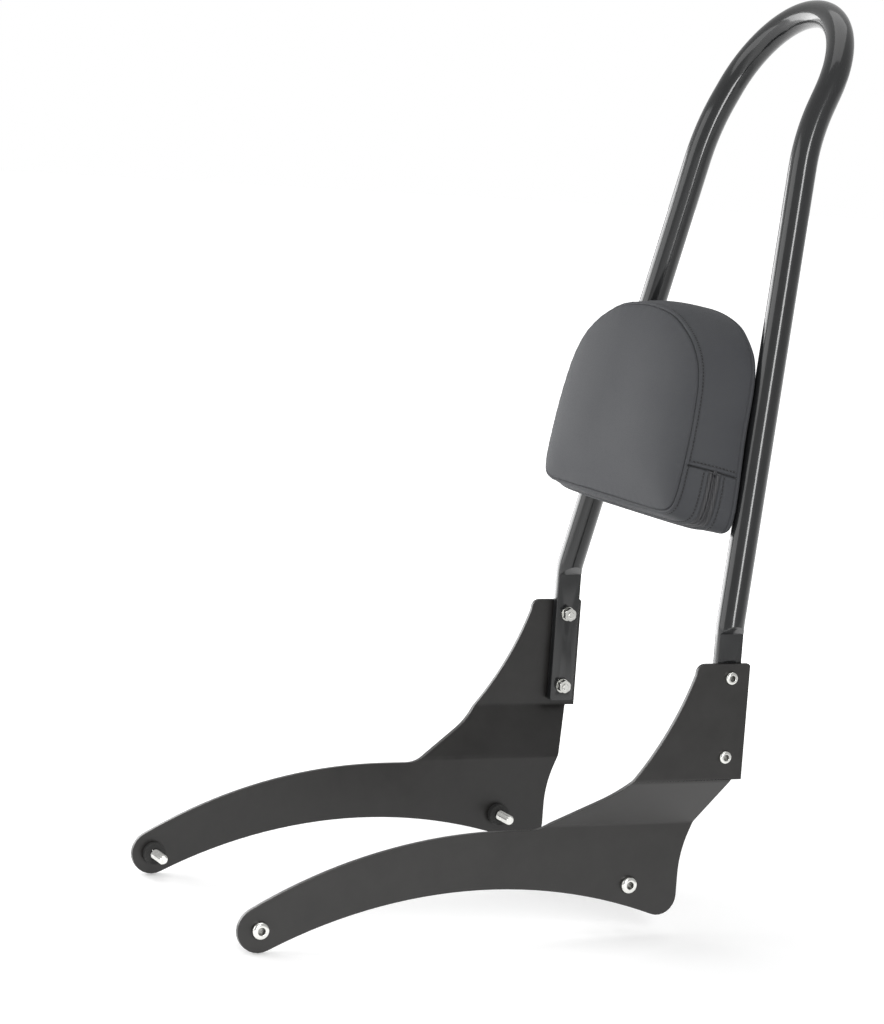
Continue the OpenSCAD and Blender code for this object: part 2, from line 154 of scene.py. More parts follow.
def smooth(piece, angle):
    """Shades a piece smooth, with edges kept that are sharper than this many degrees."""
    only(piece)
    bpy.ops.object.shade_smooth_by_angle(angle=radians(angle))


def placed(name, data):
    """A new object of this data in the scene."""
    thing = bpy.data.objects.new(name, data)
    bpy.context.collection.objects.link(thing)
    return thing


def mesh_piece(name, points, faces):
    """A piece made of points and faces, which are turned outward."""
    mesh = bpy.data.meshes.new(name)
    mesh.from_pydata([tuple(p) for p in points], [], faces)
    piece = placed(name, mesh)
    face_out(piece)
    return piece


def copy_to(master, name, place):
    """A copy of a modelled piece with its own mesh, moved there by a matrix."""
    piece = placed(name, master.data.copy())
    piece.data.transform(place)
    return piece


def extrude(way):
    """Draws what is selected out by this way."""
    bpy.ops.mesh.extrude_region_move(TRANSFORM_OT_translate={"value": way})


def discard(*pieces):
    for piece in pieces:
        bpy.data.objects.remove(piece, do_unlink=True)


def join(pieces, name):
    """Joins pieces into the first one."""
    bpy.ops.object.select_all(action="DESELECT")
    for piece in pieces:
        piece.select_set(True)
    bpy.context.view_layer.objects.active = pieces[0]
    bpy.ops.object.join()
    pieces[0].name = name
    return pieces[0]


def repaint(piece, material):
    piece.data.materials.clear()
    piece.data.materials.append(material)


def dress(piece, slot, material, *nodes):
    """Gives a piece its material, lets it ride on the frame and stand for its CAD nodes."""
    repaint(piece, material)
    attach(piece, "root")
    if nodes:
        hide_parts(*nodes)


def softened(node, name, width):
    """A copy of a CAD node whose sharp edges are broken by a small round of this width, as a
    tumbled or coated part's are."""
    piece = placed(name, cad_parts[node].data.copy())
    merge(piece, 0.000001, bpy.ops.mesh.dissolve_limited, angle_limit=radians(0.6))
    apply_modifier(piece, "BEVEL", width=width, segments=2, limit_method="ANGLE",
                   angle_limit=radians(40), use_clamp_overlap=False)
    smooth(piece, 30)
    apply_modifier(piece, "WEIGHTED_NORMAL", keep_sharp=True, weight=80)
    return piece


# Materials

def add_node(material, kind, settings=None, values=None, links=None):
    """Adds one shader node with its settings, its sockets' values and its links."""
    tree = material.node_tree
    node = tree.nodes.new(f"ShaderNode{kind}")
    for name, value in (settings or {}).items():
        setattr(node, name, value)
    for name, value in (values or {}).items():
        node.inputs[name].default_value = value
    for name, socket in (links or {}).items():
        tree.links.new(socket, node.inputs[name])
    return node


def new_material(name):
    """A material without nodes yet, and its object coordinates."""
    material = bpy.data.materials.new(name)
    material.use_nodes = True
    material.node_tree.nodes.clear()
    return material, add_node(material, "TexCoord").outputs["Object"]


def finish(material, colour, height, strength, distance, values, links=None):
    """Ends a material in one shader, bumped by a height. The colour is a socket, or two colours
    and the pattern that blends them."""
    if isinstance(colour, tuple):
        low, high, pattern = colour
        colour = add_node(material, "Mix", {"data_type": "RGBA"}, {6: low, 7: high},
                          {"Factor": pattern.outputs["Fac"]}).outputs[2]
    bump = add_node(material, "Bump", None, {"Strength": strength, "Distance": distance},
                    {"Height": height})
    shader = add_node(material, "BsdfPrincipled", None, values,
                      {"Base Color": colour, "Normal": bump.outputs["Normal"], **(links or {})})
    add_node(material, "OutputMaterial", links={"Surface": shader.outputs[0]})
    return material


def powder_coat(name, colour, worn, roughness, gloss, coat):
    """Powder coat, sprayed dry and baked: it flows out to a fine orange peel about 0.8 mm
    across, so reflections are soft at the edges but still clear. Handling leaves slightly
    shinier and duller patches."""
    m, place = new_material(name)
    peel = add_node(m, "TexNoise", None, {"Scale": 1250, "Detail": 1.0}, {"Vector": place})
    dust = add_node(m, "TexNoise", None, {"Scale": 38, "Detail": 5, "Roughness": 0.6},
                    {"Vector": place})
    tone = add_node(m, "ValToRGB", links={"Fac": dust.outputs["Fac"]})
    for stop, position, shade in zip(tone.color_ramp.elements, (0.3, 0.75), (colour, worn)):
        stop.position = position
        stop.color = shade
    rough = add_node(m, "MapRange", links={"Value": dust.outputs["Fac"]},
                     values={"From Min": 0.3, "From Max": 0.7,
                             "To Min": roughness - 0.04, "To Max": roughness + 0.05})
    return finish(m, tone.outputs["Color"], peel.outputs["Fac"], 0.05, 0.0001,
                  {"IOR": 1.5, "Specular IOR Level": gloss, "Coat Weight": coat,
                   "Coat Roughness": 0.12},
                  {"Roughness": rough.outputs["Result"]})


def zinc_plate(name, colour, shade, roughness):
    """Zinc on turned steel: near white with a fine grit, and a faint grey cloud where it has
    been handled."""
    m, place = new_material(name)
    cloud = add_node(m, "TexNoise", None, {"Scale": 220, "Detail": 4}, {"Vector": place})
    grit = add_node(m, "TexNoise", None, {"Scale": 2600, "Detail": 2}, {"Vector": place})
    rough = add_node(m, "MapRange", None, {"To Min": roughness - 0.05, "To Max": roughness + 0.07},
                     {"Value": cloud.outputs["Fac"]})
    return finish(m, (colour, shade, cloud), grit.outputs["Fac"], 0.05, 0.00003, {"Metallic": 1.0},
                  {"Roughness": rough.outputs["Result"]})


def moulded_rubber(name, colour, bloom):
    """Moulded rubber: matte black with a grey bloom and a fine eroded mould texture."""
    m, place = new_material(name)
    grain = add_node(m, "TexNoise", None, {"Scale": 900, "Detail": 3}, {"Vector": place})
    return finish(m, (colour, bloom, grain), grain.outputs["Fac"], 0.25, 0.00015,
                  {"Roughness": 0.72, "Specular IOR Level": 0.35})


def coated_vinyl(name, colour, light):
    """Upholstery vinyl: a fabric coated with soft PVC and embossed with a fine leather grain,
    cells about 0.9 mm wide with furrows between them. Matte, so that its tone hardly changes
    over the stuffed front and the curves read softly."""
    m, place = new_material(name)
    bend = add_node(m, "TexNoise", None, {"Scale": 300, "Detail": 2}, {"Vector": place})
    sway = add_node(m, "VectorMath", {"operation": "SCALE"}, {"Scale": 0.0009},
                    {0: bend.outputs["Color"]})
    warped = add_node(m, "VectorMath", {"operation": "ADD"}, None, {0: place, 1: sway.outputs[0]})
    cells = add_node(m, "TexVoronoi", {"feature": "DISTANCE_TO_EDGE"}, {"Scale": 1050},
                     {"Vector": warped.outputs[0]})
    furrow = add_node(m, "MapRange", {"interpolation_type": "SMOOTHSTEP"},
                      {"From Min": 0.0, "From Max": 0.22}, {"Value": cells.outputs["Distance"]})
    tint = add_node(m, "TexNoise", None, {"Scale": 24, "Detail": 3}, {"Vector": place})
    rough = add_node(m, "MapRange", None, {"To Min": 0.75, "To Max": 0.6},
                     {"Value": furrow.outputs["Result"]})
    return finish(m, (colour, light, tint), furrow.outputs["Result"], 0.3, 0.00012,
                  {"Specular IOR Level": 0.09, "Sheen Weight": 0.02, "Sheen Roughness": 0.4},
                  {"Roughness": rough.outputs["Result"]})


def spun_thread(name, colour, light):
    """Spun polyester thread: matte and dark, its twist a fine ridge every 0.5 mm, with the crests
    painted lighter as a highlight.
    """
    m, place = new_material(name)
    twist = add_node(m, "TexWave", {"bands_direction": "DIAGONAL"},
                     {"Scale": 330, "Distortion": 1.5}, {"Vector": place})
    return finish(m, (colour, light, twist), twist.outputs["Fac"], 0.4, 0.0001,
                  {"Roughness": 0.8, "Sheen Weight": 0.2})


def woven_tape(name, colour, light):
    """Nylon zip tape: woven so finely that only a rib every 0.7 mm shows, with a dull shine; its
    ribs are painted lighter as a sheen.
    """
    m, place = new_material(name)
    rib = add_node(m, "TexWave", {"bands_direction": "Y"}, {"Scale": 230, "Distortion": 0.4},
                   {"Vector": place})
    return finish(m, (colour, light, rib), rib.outputs["Fac"], 0.5, 0.00015, {"Roughness": 0.6})


def birch_plywood(name, colour, grain_colour):
    """Birch plywood: pale, with grain lines about 2 mm apart along the board."""
    m, place = new_material(name)
    stretch = add_node(m, "Mapping", None, {"Scale": (500, 60, 18)}, {"Vector": place})
    grain = add_node(m, "TexNoise", None, {"Scale": 1.0, "Detail": 4},
                     {"Vector": stretch.outputs["Vector"]})
    return finish(m, (colour, grain_colour, grain), grain.outputs["Fac"], 0.2, 0.0002,
                  {"Roughness": 0.6})


def paint(kind):
    """The finished materials, each made once from the colours in the panel."""
    name = kind.replace("_", " ")
    if name in bpy.data.materials:
        return bpy.data.materials[name]
    c = bpy.context.scene.sissy_bar_colours
    maker, *look = {
        "black_semigloss_powder_coat": (powder_coat, c.hoop, c.hoop_worn, 0.4, 0.1, 0.75),
        "black_satin_powder_coat": (powder_coat, c.plates, c.plates_worn, 0.36, 0.36, 0.0),
        "bright_zinc": (zinc_plate, c.zinc, c.zinc_shade, 0.16),
        "dull_zinc": (zinc_plate, c.zinc_shade, c.zinc, 0.36),
        # painted shade: the sockets' dark zinc stands in for the shade down in them
        "thin_zinc_in_sockets": (zinc_plate, c.socket, c.zinc_shade, 0.3),
        "black_rubber": (moulded_rubber, c.rubber, c.rubber_bloom),
        "grey_black_vinyl": (coated_vinyl, c.vinyl, c.vinyl_light),
        "black_polyester_thread": (spun_thread, c.thread, c.thread_crest_highlight),
        "black_nylon_tape": (woven_tape, c.tape, c.tape_rib_sheen),
        "birch_plywood": (birch_plywood, c.plywood, c.plywood_grain),
    }[kind]
    return maker(name, *look)


def colour(label, description, hex_value):
    """A colour in the panel."""
    return bpy.props.FloatVectorProperty(name=label, description=description, subtype="COLOR",
                                         size=4, min=0, max=1, default=linear(hex_value))


class SissyBarColours(bpy.types.PropertyGroup):
    hoop: colour("Hoop", "Powder coat of the hoop", "#131415")
    hoop_worn: colour("Hoop, handled", "Powder coat where hands have polished it", "#1a1b1c")
    plates: colour("Plates", "Powder coat of the side plates and the carrier plate", "#191817")
    plates_worn: colour("Plates, handled", "Powder coat of the plates where dulled", "#21201f")
    zinc: colour("Zinc", "Plated screws, nuts and washers", "#d2d2cf")
    zinc_shade: colour("Zinc, handled", "Plating where it has dulled", "#aaaaa6")
    # painted shade: this dark colour on the sockets' faces stands in for the shade down in them
    socket: colour("Sockets", "Thin plating inside the sockets of the screws", "#2a2a29")
    rubber: colour("Rubber", "Spacers behind the plates", "#1d1d1d")
    rubber_bloom: colour("Rubber bloom", "Grey bloom on the spacers", "#2b2b2a")
    vinyl: colour("Vinyl", "Cover of the backrest", "#3e3f42")
    vinyl_light: colour("Vinyl, light", "Cover where it is stretched", "#454648")
    thread: colour("Thread", "Sewing thread", "#0b0b0c")
    # painted highlight: the lighter colour on the crests of the thread's twist
    thread_crest_highlight: colour("Thread, light", "Crests of the thread's twist", "#1b1b1d")
    tape: colour("Zip tape", "Tape and coil of the zip", "#18181a")
    # painted sheen: the lighter colour on the ribs of the zip's tape and coil
    tape_rib_sheen: colour("Zip tape, light", "Ribs of the zip's tape", "#2d2d30")
    plywood: colour("Plywood", "Board inside the backrest", "#c9a878")
    plywood_grain: colour("Plywood grain", "Grain lines of the board", "#a98556")


def length(label, description, mm):
    """A length in the panel, written here in millimetres."""
    return bpy.props.FloatProperty(name=label, description=description, default=mm * MM,
                                   min=0.0, subtype="DISTANCE", unit="LENGTH", precision=5)


class SissyBarSizes(bpy.types.PropertyGroup):
    bar_d: length("Bar", "Diameter of the bent bar", 22)
    flat_t: length("Foot", "Thickness of the flattened feet", 8)
    foot_bend_r: length("Foot bend", "Radius of the bend above the feet", 60)
    crown_bend_r: length("Crown bend", "Radius of the bend between leg and crown", 190)
    crown_r: length("Crown", "Radius of the arc over the top", 77)
    edge_round: length("Edge round", "Round that the coating leaves on cut edges", 0.45)
    hoop_pitch: length("M6 pitch", "Thread pitch of the small screws", 1.0)
    fender_pitch: length("M8 pitch", "Thread pitch of the large screws", 1.25)
    pad_crown: length("Pad crown", "Swell of the backrest's front panel before stuffing", 8.5)
    gusset_bulge: length("Gusset bulge", "Swell of the backrest's gusset before stuffing", 3)
    pad_cap: length("Pad stuffing", "Furthest that stuffing may push the cover", 6)
    seam_depth: length("Seam depth", "Depth of the seam round the front panel", 2.8)
    seam_allowance: length("Seam allowance", "Distance of the topstitch from the seam", 3.6)
    stitch_pitch: length("Stitch pitch", "Distance from stitch to stitch", 2.9)
    thread_d: length("Thread", "Thickness of the sewing thread", 1.15)
    zip_gap: length("Zip opening", "Distance between the two flaps over the zip", 10)


# Hoop: where its top is, how far the flats reach up the feet, and how the bar goes on above
# the upper bends: how it leans back, how it splays and how far it runs straight
HOOP_TOP, TOP_SLACK = 0.702, 0.0005
FLAT_LENGTH, WASHER_HOLE_R = 0.108, 0.0033
CROWN_LEAN, CROWN_SPLAY, CROWN_RUN = radians(26), radians(5.2), 0.038


def hoop_bends(size):
    """The corners and directions that the bar follows on the left side, from foot to crown."""
    splay, upright = CROWN_SPLAY, cos(CROWN_LEAN)
    up = Vector((0, sin(CROWN_LEAN), upright))
    crown_dir = Vector((-sin(splay), 0, 0)) + cos(splay) * up
    kink_x = size.crown_r * cos(splay) + CROWN_RUN * sin(splay)
    rise = CROWN_RUN * cos(splay) + size.crown_r * (1 - sin(splay))
    kink_z = HOOP_TOP - size.bar_d / 2 * upright - rise * upright - TOP_SLACK
    leg_rise = (kink_z - FOOT_BEND.z) / cos(LEG_LEAN)
    leg_splay = atan2(FOOT_BEND.x - kink_x, leg_rise)
    leg_dir = Vector((-sin(leg_splay), 0, 0)) + cos(leg_splay) * LEG_UP
    kink = FOOT_BEND + leg_rise / cos(leg_splay) * leg_dir
    arc_start = kink + CROWN_RUN * crown_dir
    centre = Vector((0, arc_start.y, arc_start.z)) - size.crown_r * sin(splay) * up
    return leg_dir, crown_dir, kink, arc_start, centre


def prism(name, outline, depth):
    """A prism of an outline in Y and Z, from x = -depth to x = depth."""
    n = len(outline)
    faces = [tuple(range(n))[::-1], tuple(range(n, 2 * n))]
    faces += [(i, (i + 1) % n, (i + 1) % n + n, i + n) for i in range(n)]
    return mesh_piece(name, [(x, y, z) for x in (-depth, depth) for y, z in outline], faces)


class SISSYBAR_OT_hoop(bpy.types.Operator):
    """Bends the round bar from foot to foot and mills the flats, shoulders and holes of its feet"""
    bl_idname = "sissybar.hoop"
    bl_label = "Hoop"

    def execute(self, context):
        size = context.scene.sissy_bar_sizes
        leg_dir, crown_dir, kink, arc_start, centre = hoop_bends(size)
        foot_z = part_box("hoop")[0].z
        bpy.ops.mesh.primitive_circle_add(vertices=48, radius=size.bar_d / 2, fill_type="NGON",
                                          location=(FOOT_BEND.x, FOOT_BEND.y, foot_z),
                                          rotation=(0, 0, radians(3.75)))
        hoop = context.object
        hoop.name = "bent_bar_hoop"
        freeze(hoop)
        edit(hoop, select="SELECT")

        def draw_to(point):
            extrude(point - self.at)
            self.at = point

        def bend(corner, u, v, radius, steps):
            turn = u.angle(v)
            start = corner - u * radius * tan(turn / 2)
            if (start - self.at).length > 1e-6:
                draw_to(start)
            inward = (v - u * cos(turn)) / sin(turn)
            bpy.ops.mesh.spin(steps=steps, angle=-turn, center=start + radius * inward,
                              axis=u.cross(v).normalized())
            self.at = corner + v * radius * tan(turn / 2)

        self.at = Vector((FOOT_BEND.x, FOOT_BEND.y, foot_z))
        bend(FOOT_BEND, Vector((0, 0, 1)), leg_dir, size.foot_bend_r, 8)
        bend(kink, leg_dir, crown_dir, size.crown_bend_r, 16)
        draw_to(arc_start)
        bpy.ops.mesh.spin(steps=28, angle=-(pi / 2 - CROWN_SPLAY), center=centre,
                          axis=crown_dir.cross(Vector((-1, 0, 0))).normalized())
        bpy.ops.mesh.delete(type="ONLY_FACE")
        leave()
        apply_modifier(hoop, "MIRROR", use_axis=(True, False, False), merge_threshold=0.00002)
        merge(hoop, 0.000005, bpy.ops.mesh.normals_make_consistent, inside=False)

        # Cutters: one prism with a sloped top for each flat, the two holes and the end's corners
        flat, radius = size.flat_t / 2, size.bar_d / 2
        shoulder = foot_z + FLAT_LENGTH
        slope, beyond, corner_r = 0.012, 0.005, 0.003
        wall = [(flat, foot_z - beyond), (flat, shoulder), (flat + slope, shoulder + slope),
                (flat + slope, foot_z - beyond)]
        arc = [(radius - corner_r + corner_r * sin(a), foot_z + corner_r - corner_r * cos(a))
               for a in [radians(d) for d in range(0, 91, 15)]]
        arc += [(radius + 0.002, foot_z + corner_r), (radius + 0.002, foot_z - 0.002),
                (radius - corner_r, foot_z - 0.002)]
        cutters = []
        for side, sign in SIDES.items():
            x0 = FOOT_BEND.x * sign
            for face in (1, -1):
                cutters.append(prism("flat_cut", wall, 0.022))
                # the prism is drawn in Y and Z and laid across the bar
                cutters[-1].data.transform(Matrix(((0, face, 0, x0), (face, 0, 0, FOOT_BEND.y),
                                                   (0, 0, 1, 0), (0, 0, 0, 1))))
                face_out(cutters[-1])
            for screw in ("upper", "lower"):
                low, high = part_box(f"hoop_washer_{side}_{screw}")
                hole = (x0, FOOT_BEND.y, (low.z + high.z) / 2)
                bpy.ops.mesh.primitive_cylinder_add(vertices=32, radius=WASHER_HOLE_R, depth=0.03,
                                                    location=hole, rotation=(0, pi / 2, 0))
                cutters.append(context.object)
                freeze(cutters[-1])
            for end in (1, -1):
                cutters.append(prism("end_cut", [(end * y, z) for y, z in arc], 0.02))
                cutters[-1].data.transform(Matrix.Translation((x0, FOOT_BEND.y, 0)))
        for cut in cutters:
            apply_modifier(hoop, "BOOLEAN", operation="DIFFERENCE", object=cut, solver="EXACT")
        discard(*cutters)
        merge(hoop, 0.00002, bpy.ops.mesh.dissolve_degenerate, threshold=0.00002)
        pick(hoop, lambda place: place.z < shoulder + slope + 0.002)
        bpy.ops.mesh.dissolve_limited(angle_limit=radians(0.3))
        leave()
        apply_modifier(hoop, "BEVEL", width=size.edge_round, segments=2, limit_method="ANGLE",
                       angle_limit=radians(52), use_clamp_overlap=True)
        smooth(hoop, 24)
        dress(hoop, "hoop_paint", paint("black_semigloss_powder_coat"), "hoop")
        return {"FINISHED"}


# Plates

class SISSYBAR_OT_side_plates(bpy.types.Operator):
    """Rounds the cut edges of the two folded side plates and powder coats them"""
    bl_idname = "sissybar.side_plates"
    bl_label = "Side plates"

    def execute(self, context):
        size = context.scene.sissy_bar_sizes
        for side in SIDES:
            plate = softened(f"side_plate_{side}", f"folded_side_plate_{side}", size.edge_round)
            dress(plate, "plate_paint", paint("black_satin_powder_coat"), f"side_plate_{side}")
        return {"FINISHED"}


class SISSYBAR_OT_carrier_plate(bpy.types.Operator):
    """Rounds the plate between the legs and lays the weld beads that hold it"""
    bl_idname = "sissybar.carrier_plate"
    bl_label = "Carrier plate"

    def execute(self, context):
        size = context.scene.sissy_bar_sizes
        coat = paint("black_satin_powder_coat")
        plate = softened("carrier_plate", "welded_carrier_plate", size.edge_round)
        dress(plate, "hoop_paint", coat, "carrier_plate")

        # One bead up the left edge, drawn ripple by ripple from where the plate starts, and its
        # mirror image. Its radius is 1.2 mm at the ends and 2.4 mm on the crests; it swells over
        # its first three ripples and thins out over its last.
        leg_dir = hoop_bends(size)[0]
        plate_low, half_ripples, step, swell = 0.100, 80, 0.0021 / 2, 6
        lean = Matrix.Rotation(-LEG_LEAN, 4, "X")
        corner = Vector((-0.0086, 0, 0)) + LEG_FRONT * 0.0070
        at = FOOT_BEND + leg_dir * (plate_low / leg_dir.dot(LEG_UP)) + corner
        bpy.ops.mesh.primitive_circle_add(vertices=14, radius=0.0012, fill_type="NGON", location=at,
                                          rotation=lean.to_euler())
        bead = context.object
        bead.name = "weld_bead_left"
        freeze(bead)
        edit(bead, select="SELECT")
        width = 1.0
        for k in range(half_ripples):
            ends = min(k + 1, half_ripples - k, swell) / swell
            target = (2.0 if k % 2 else 1.72) * (0.55 + 0.45 * ends)
            extrude(leg_dir * step)
            at = at + leg_dir * step
            bpy.ops.transform.resize(value=[target / width] * 3, center_override=at)
            width = target
        face_out(bead)
        smooth(bead, 75)
        mirrored = copy_to(bead, "weld_bead_right", Matrix.Scale(-1, 4, (1, 0, 0)))
        face_out(mirrored)
        for piece in (bead, mirrored):
            dress(piece, "hoop_paint", coat)
        return {"FINISHED"}


# Screws: diameter, length under the head, plain neck and width of the socket, and where they
# sit. A button head is 1.75 diameters wide and 0.55 high. The pad's screws stand in the plane
# of the legs: how far from the middle, how high, how far apart and how far forward.
SCREWS = {
    "hoop_screw": (0.006, 0.0199, 0.012, 0.004, ("upper", "lower")),
    "fender_screw": (0.008, 0.030, 0.010, 0.005, ("front", "rear")),
    "pad_screw": (0.006, 0.0176, 0.0052, 0.004, ("upper", "lower")),
}
HEAD_WIDTH, HEAD_HEIGHT = 1.75, 0.55
PAD_SCREW_X, PAD_SCREW_MIDDLE, PAD_SCREW_RISE, PAD_SCREW_SEAT = 0.05, 0.1455, 0.06, 0.0115 - 0.0052


def turned(sides, radius, far_radius, x, depth):
    """A prism or cone that lies along X, frozen there."""
    bpy.ops.mesh.primitive_cone_add(vertices=sides, radius1=radius, radius2=far_radius, depth=depth,
                                    location=(x, 0, 0), rotation=(0, pi / 2, 0))
    freeze(bpy.context.object)
    return bpy.context.object


def disc(sides, radius, facing):
    """A filled circle that faces along X or against it, open in edit mode."""
    bpy.ops.mesh.primitive_circle_add(vertices=sides, radius=radius, fill_type="NGON",
                                      rotation=(0, facing * pi / 2, 0))
    piece = bpy.context.object
    freeze(piece)
    edit(piece, select="SELECT")
    return piece


def button_screw(name, d, under_head, plain, socket, pitch):
    """A button-head screw along -X with its seat at the origin: a domed head with a hexagon
    socket, a plain neck and a rolled thread with a chamfered tip."""
    head_h = d * HEAD_HEIGHT
    head = disc(48, d * HEAD_WIDTH / 2, 1)
    rim = head_h * 0.16
    extrude((rim, 0, 0))
    # the dome: an arc from the rim to the flat land round the socket
    land, steps, before = 0.56, 7, (rim, 1.0)
    for k in range(1, steps + 1):
        a = k / steps * pi / 2
        x = rim + (head_h - rim) * sin(a) ** 0.9
        w = land + (1 - land) * cos(a) ** 0.8 if k < steps else land
        extrude((x - before[0], 0, 0))
        bpy.ops.transform.resize(value=(1, w / before[1], w / before[1]))
        before = (x, w)
    leave()
    # the socket is a hexagon with a chamfered mouth
    corner = socket / sqrt(3) * 1.04
    hexagon = turned(6, corner, corner, head_h * 0.2 + head_h / 2, head_h)
    mouth = turned(36, socket * 0.45, socket * 0.64, head_h - d * 0.06, d * 0.14)
    face_out(head)
    for cut in (hexagon, mouth):
        apply_modifier(head, "BOOLEAN", operation="DIFFERENCE", object=cut, solver="EXACT")
    discard(hexagon, mouth)
    apply_modifier(head, "BEVEL", width=d * 0.02, segments=1, limit_method="ANGLE",
                   angle_limit=radians(42), use_clamp_overlap=True)
    # the bevel leaves slivers without an area where its corners meet
    merge(head, 0.000004, bpy.ops.mesh.dissolve_degenerate, threshold=0.00001)

    # the neck, its step down to the thread's root and its tip
    neck = disc(32, d / 2, -1)
    root = d / 2 - pitch * 0.61
    threaded = under_head - plain - d * 0.1
    for run, scale in ((plain, 1.0), (d * 0.02, 2 * root / d), (threaded, 1.0), (d * 0.08, 0.86)):
        extrude((-run, 0, 0))
        bpy.ops.transform.resize(value=(1, scale, scale))
    leave()

    # the thread: one flank screwed along the root
    crest = d / 2 * 0.985
    flank = [(0, root), (0.38, crest), (0.5, crest), (0.88, root), (1, root)]
    mesh = bpy.data.meshes.new("thread")
    mesh.from_pydata([(-under_head + d * 0.1 + x * pitch, 0, r) for x, r in flank],
                     [(i, i + 1) for i in range(4)], [])
    thread = placed("thread", mesh)
    apply_modifier(thread, "SCREW", axis="X", angle=2 * pi, screw_offset=pitch,
                   iterations=int(threaded / pitch), steps=24, render_steps=24,
                   use_merge_vertices=True, merge_threshold=0.000001)
    merge(thread, 0.000001, bpy.ops.mesh.normals_make_consistent, inside=False)
    screw = join([head, neck, thread], name)
    smooth(screw, 32)
    return screw


def recess_of(screw, head_h, socket):
    """The faces of a screw's socket."""
    return [face.index for face in screw.data.polygons
            if 0.12 * head_h < face.center.x < 0.97 * head_h
            and face.center.yz.length < socket * 0.61]


def paint_socket_shade(screw, faces):
    """Paints shade into the socket: its faces get a dark zinc that stands in for the shade down in
    the recess.
    """
    screw.data.materials.append(paint("thin_zinc_in_sockets"))
    for k in faces:
        screw.data.polygons[k].material_index = 1


def seat_of(node, head_h, side):
    """Where the seat of a sideways screw is, from its CAD node's box."""
    low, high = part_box(node)
    outer = high.x if side > 0 else low.x
    return Vector((outer - side * head_h, (low.y + high.y) / 2, (low.z + high.z) / 2))


class SISSYBAR_OT_screws(bpy.types.Operator):
    """Turns the button-head screws of the feet, the fender and the backrest"""
    bl_idname = "sissybar.screws"
    bl_label = "Screws"

    def execute(self, context):
        size = context.scene.sissy_bar_sizes
        metal = paint("bright_zinc")
        masters = {}
        for kind, (d, under_head, plain, socket, _) in SCREWS.items():
            pitch = size.fender_pitch if kind == "fender_screw" else size.hoop_pitch
            master = button_screw(f"{kind}_master", d, under_head, plain, socket, pitch)
            masters[kind] = master, recess_of(master, d * HEAD_HEIGHT, socket)
        spin = 0.0
        for side, sign in SIDES.items():
            half_turn = Matrix.Rotation(0 if sign > 0 else pi, 4, "Z")
            for kind, (master, recess) in masters.items():
                for up, spot in zip((0.5, -0.5), SCREWS[kind][-1]):
                    node = f"{kind}_{side}_{spot}"
                    if kind == "pad_screw":
                        spin += 0.41
                        height = PAD_SCREW_MIDDLE + up * PAD_SCREW_RISE
                        place = leg_plane(sign * PAD_SCREW_X, height, PAD_SCREW_SEAT)
                        place = place @ Matrix.Rotation(pi / 2, 4, "Y")
                    else:
                        spin += 0.37
                        seat = seat_of(node, SCREWS[kind][0] * HEAD_HEIGHT, sign)
                        place = Matrix.Translation(seat) @ half_turn
                    screw = copy_to(master, f"button_{node}", place @ Matrix.Rotation(spin, 4, "X"))
                    dress(screw, "screw_steel", metal, node)
                    # the socket's faces get the dark zinc of painted shade
                    paint_socket_shade(screw, recess)
        discard(*[master for master, _ in masters.values()])
        return {"FINISHED"}


class SISSYBAR_OT_nuts_and_washers(bpy.types.Operator):
    """Chamfers the hexagon nuts and breaks the edges of the washers"""
    bl_idname = "sissybar.nuts_and_washers"
    bl_label = "Nuts and washers"

    def execute(self, context):
        metal = paint("bright_zinc")
        for side in SIDES:
            for spot in ("upper", "lower"):
                for kind, width in (("hoop_nut", 0.00015), ("hoop_washer", 0.00012),
                                    ("pad_washer", 0.00012)):
                    node = f"{kind}_{side}_{spot}"
                    dress(softened(node, f"plated_{node}", width), "screw_steel", metal, node)
                repaint(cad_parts[f"tee_nut_{side}_{spot}"], paint("dull_zinc"))
        return {"FINISHED"}


class SISSYBAR_OT_fender_spacers(bpy.types.Operator):
    """Rounds the rubber spacers between the plates and the fender"""
    bl_idname = "sissybar.fender_spacers"
    bl_label = "Fender spacers"

    def execute(self, context):
        for side in SIDES:
            for spot in ("front", "rear"):
                node = f"fender_spacer_{side}_{spot}"
                dress(softened(node, f"moulded_{node}", 0.0006), "spacer_rubber",
                      paint("black_rubber"), node)
        return {"FINISHED"}


# Backrest

def leg_plane(x, w, forward):
    """A place in the plane of the legs: x across, w up along the lean, forward of it."""
    at = Vector((x, FOOT_BEND.y, FOOT_BEND.z)) + w * LEG_UP + forward * LEG_FRONT
    return Matrix(((1, 0, 0, at.x), (0, LEG_UP.y, LEG_FRONT.y, at.y),
                   (0, LEG_UP.z, LEG_FRONT.z, at.z), (0, 0, 0, 1)))


# The backrest in millimetres. Its outlines are x and height along the legs, from the middle of
# the lower edge to the middle of the top: of the front seam, and of the larger back. Then come
# the middle that the rings shrink to, how far the back stands in front of the legs, how deep
# the gusset is, how high the cross seam sits and how much higher it ends at the back (as a
# share of the way round), and the round of the back's edge.
FRONT_SEAM = [(0, 74), (60, 74), (94.5, 74.6), (108, 79.4), (112.6, 91), (113.4, 104),
              (113.2, 126), (111.2, 151), (106.5, 175), (98, 192), (85, 204.5), (68.5, 214.5),
              (41, 225), (0, 229)]
BACK_EDGE = [(0, 68), (70, 68), (111, 68), (123.5, 70.5), (127.5, 79), (126.5, 95), (122.5, 116),
             (116.5, 146), (113, 176), (109, 193), (101, 207), (85, 220), (67, 229), (36, 235),
             (0, 236.5)]
PAD_MIDDLE = (0, 150)
PAD_BACK, PAD_DEPTH = 11.5, 47.5
CROSS_SEAM, SEAM_RISE = 114.0, 0.0125
BACK_ROUND = 3.0


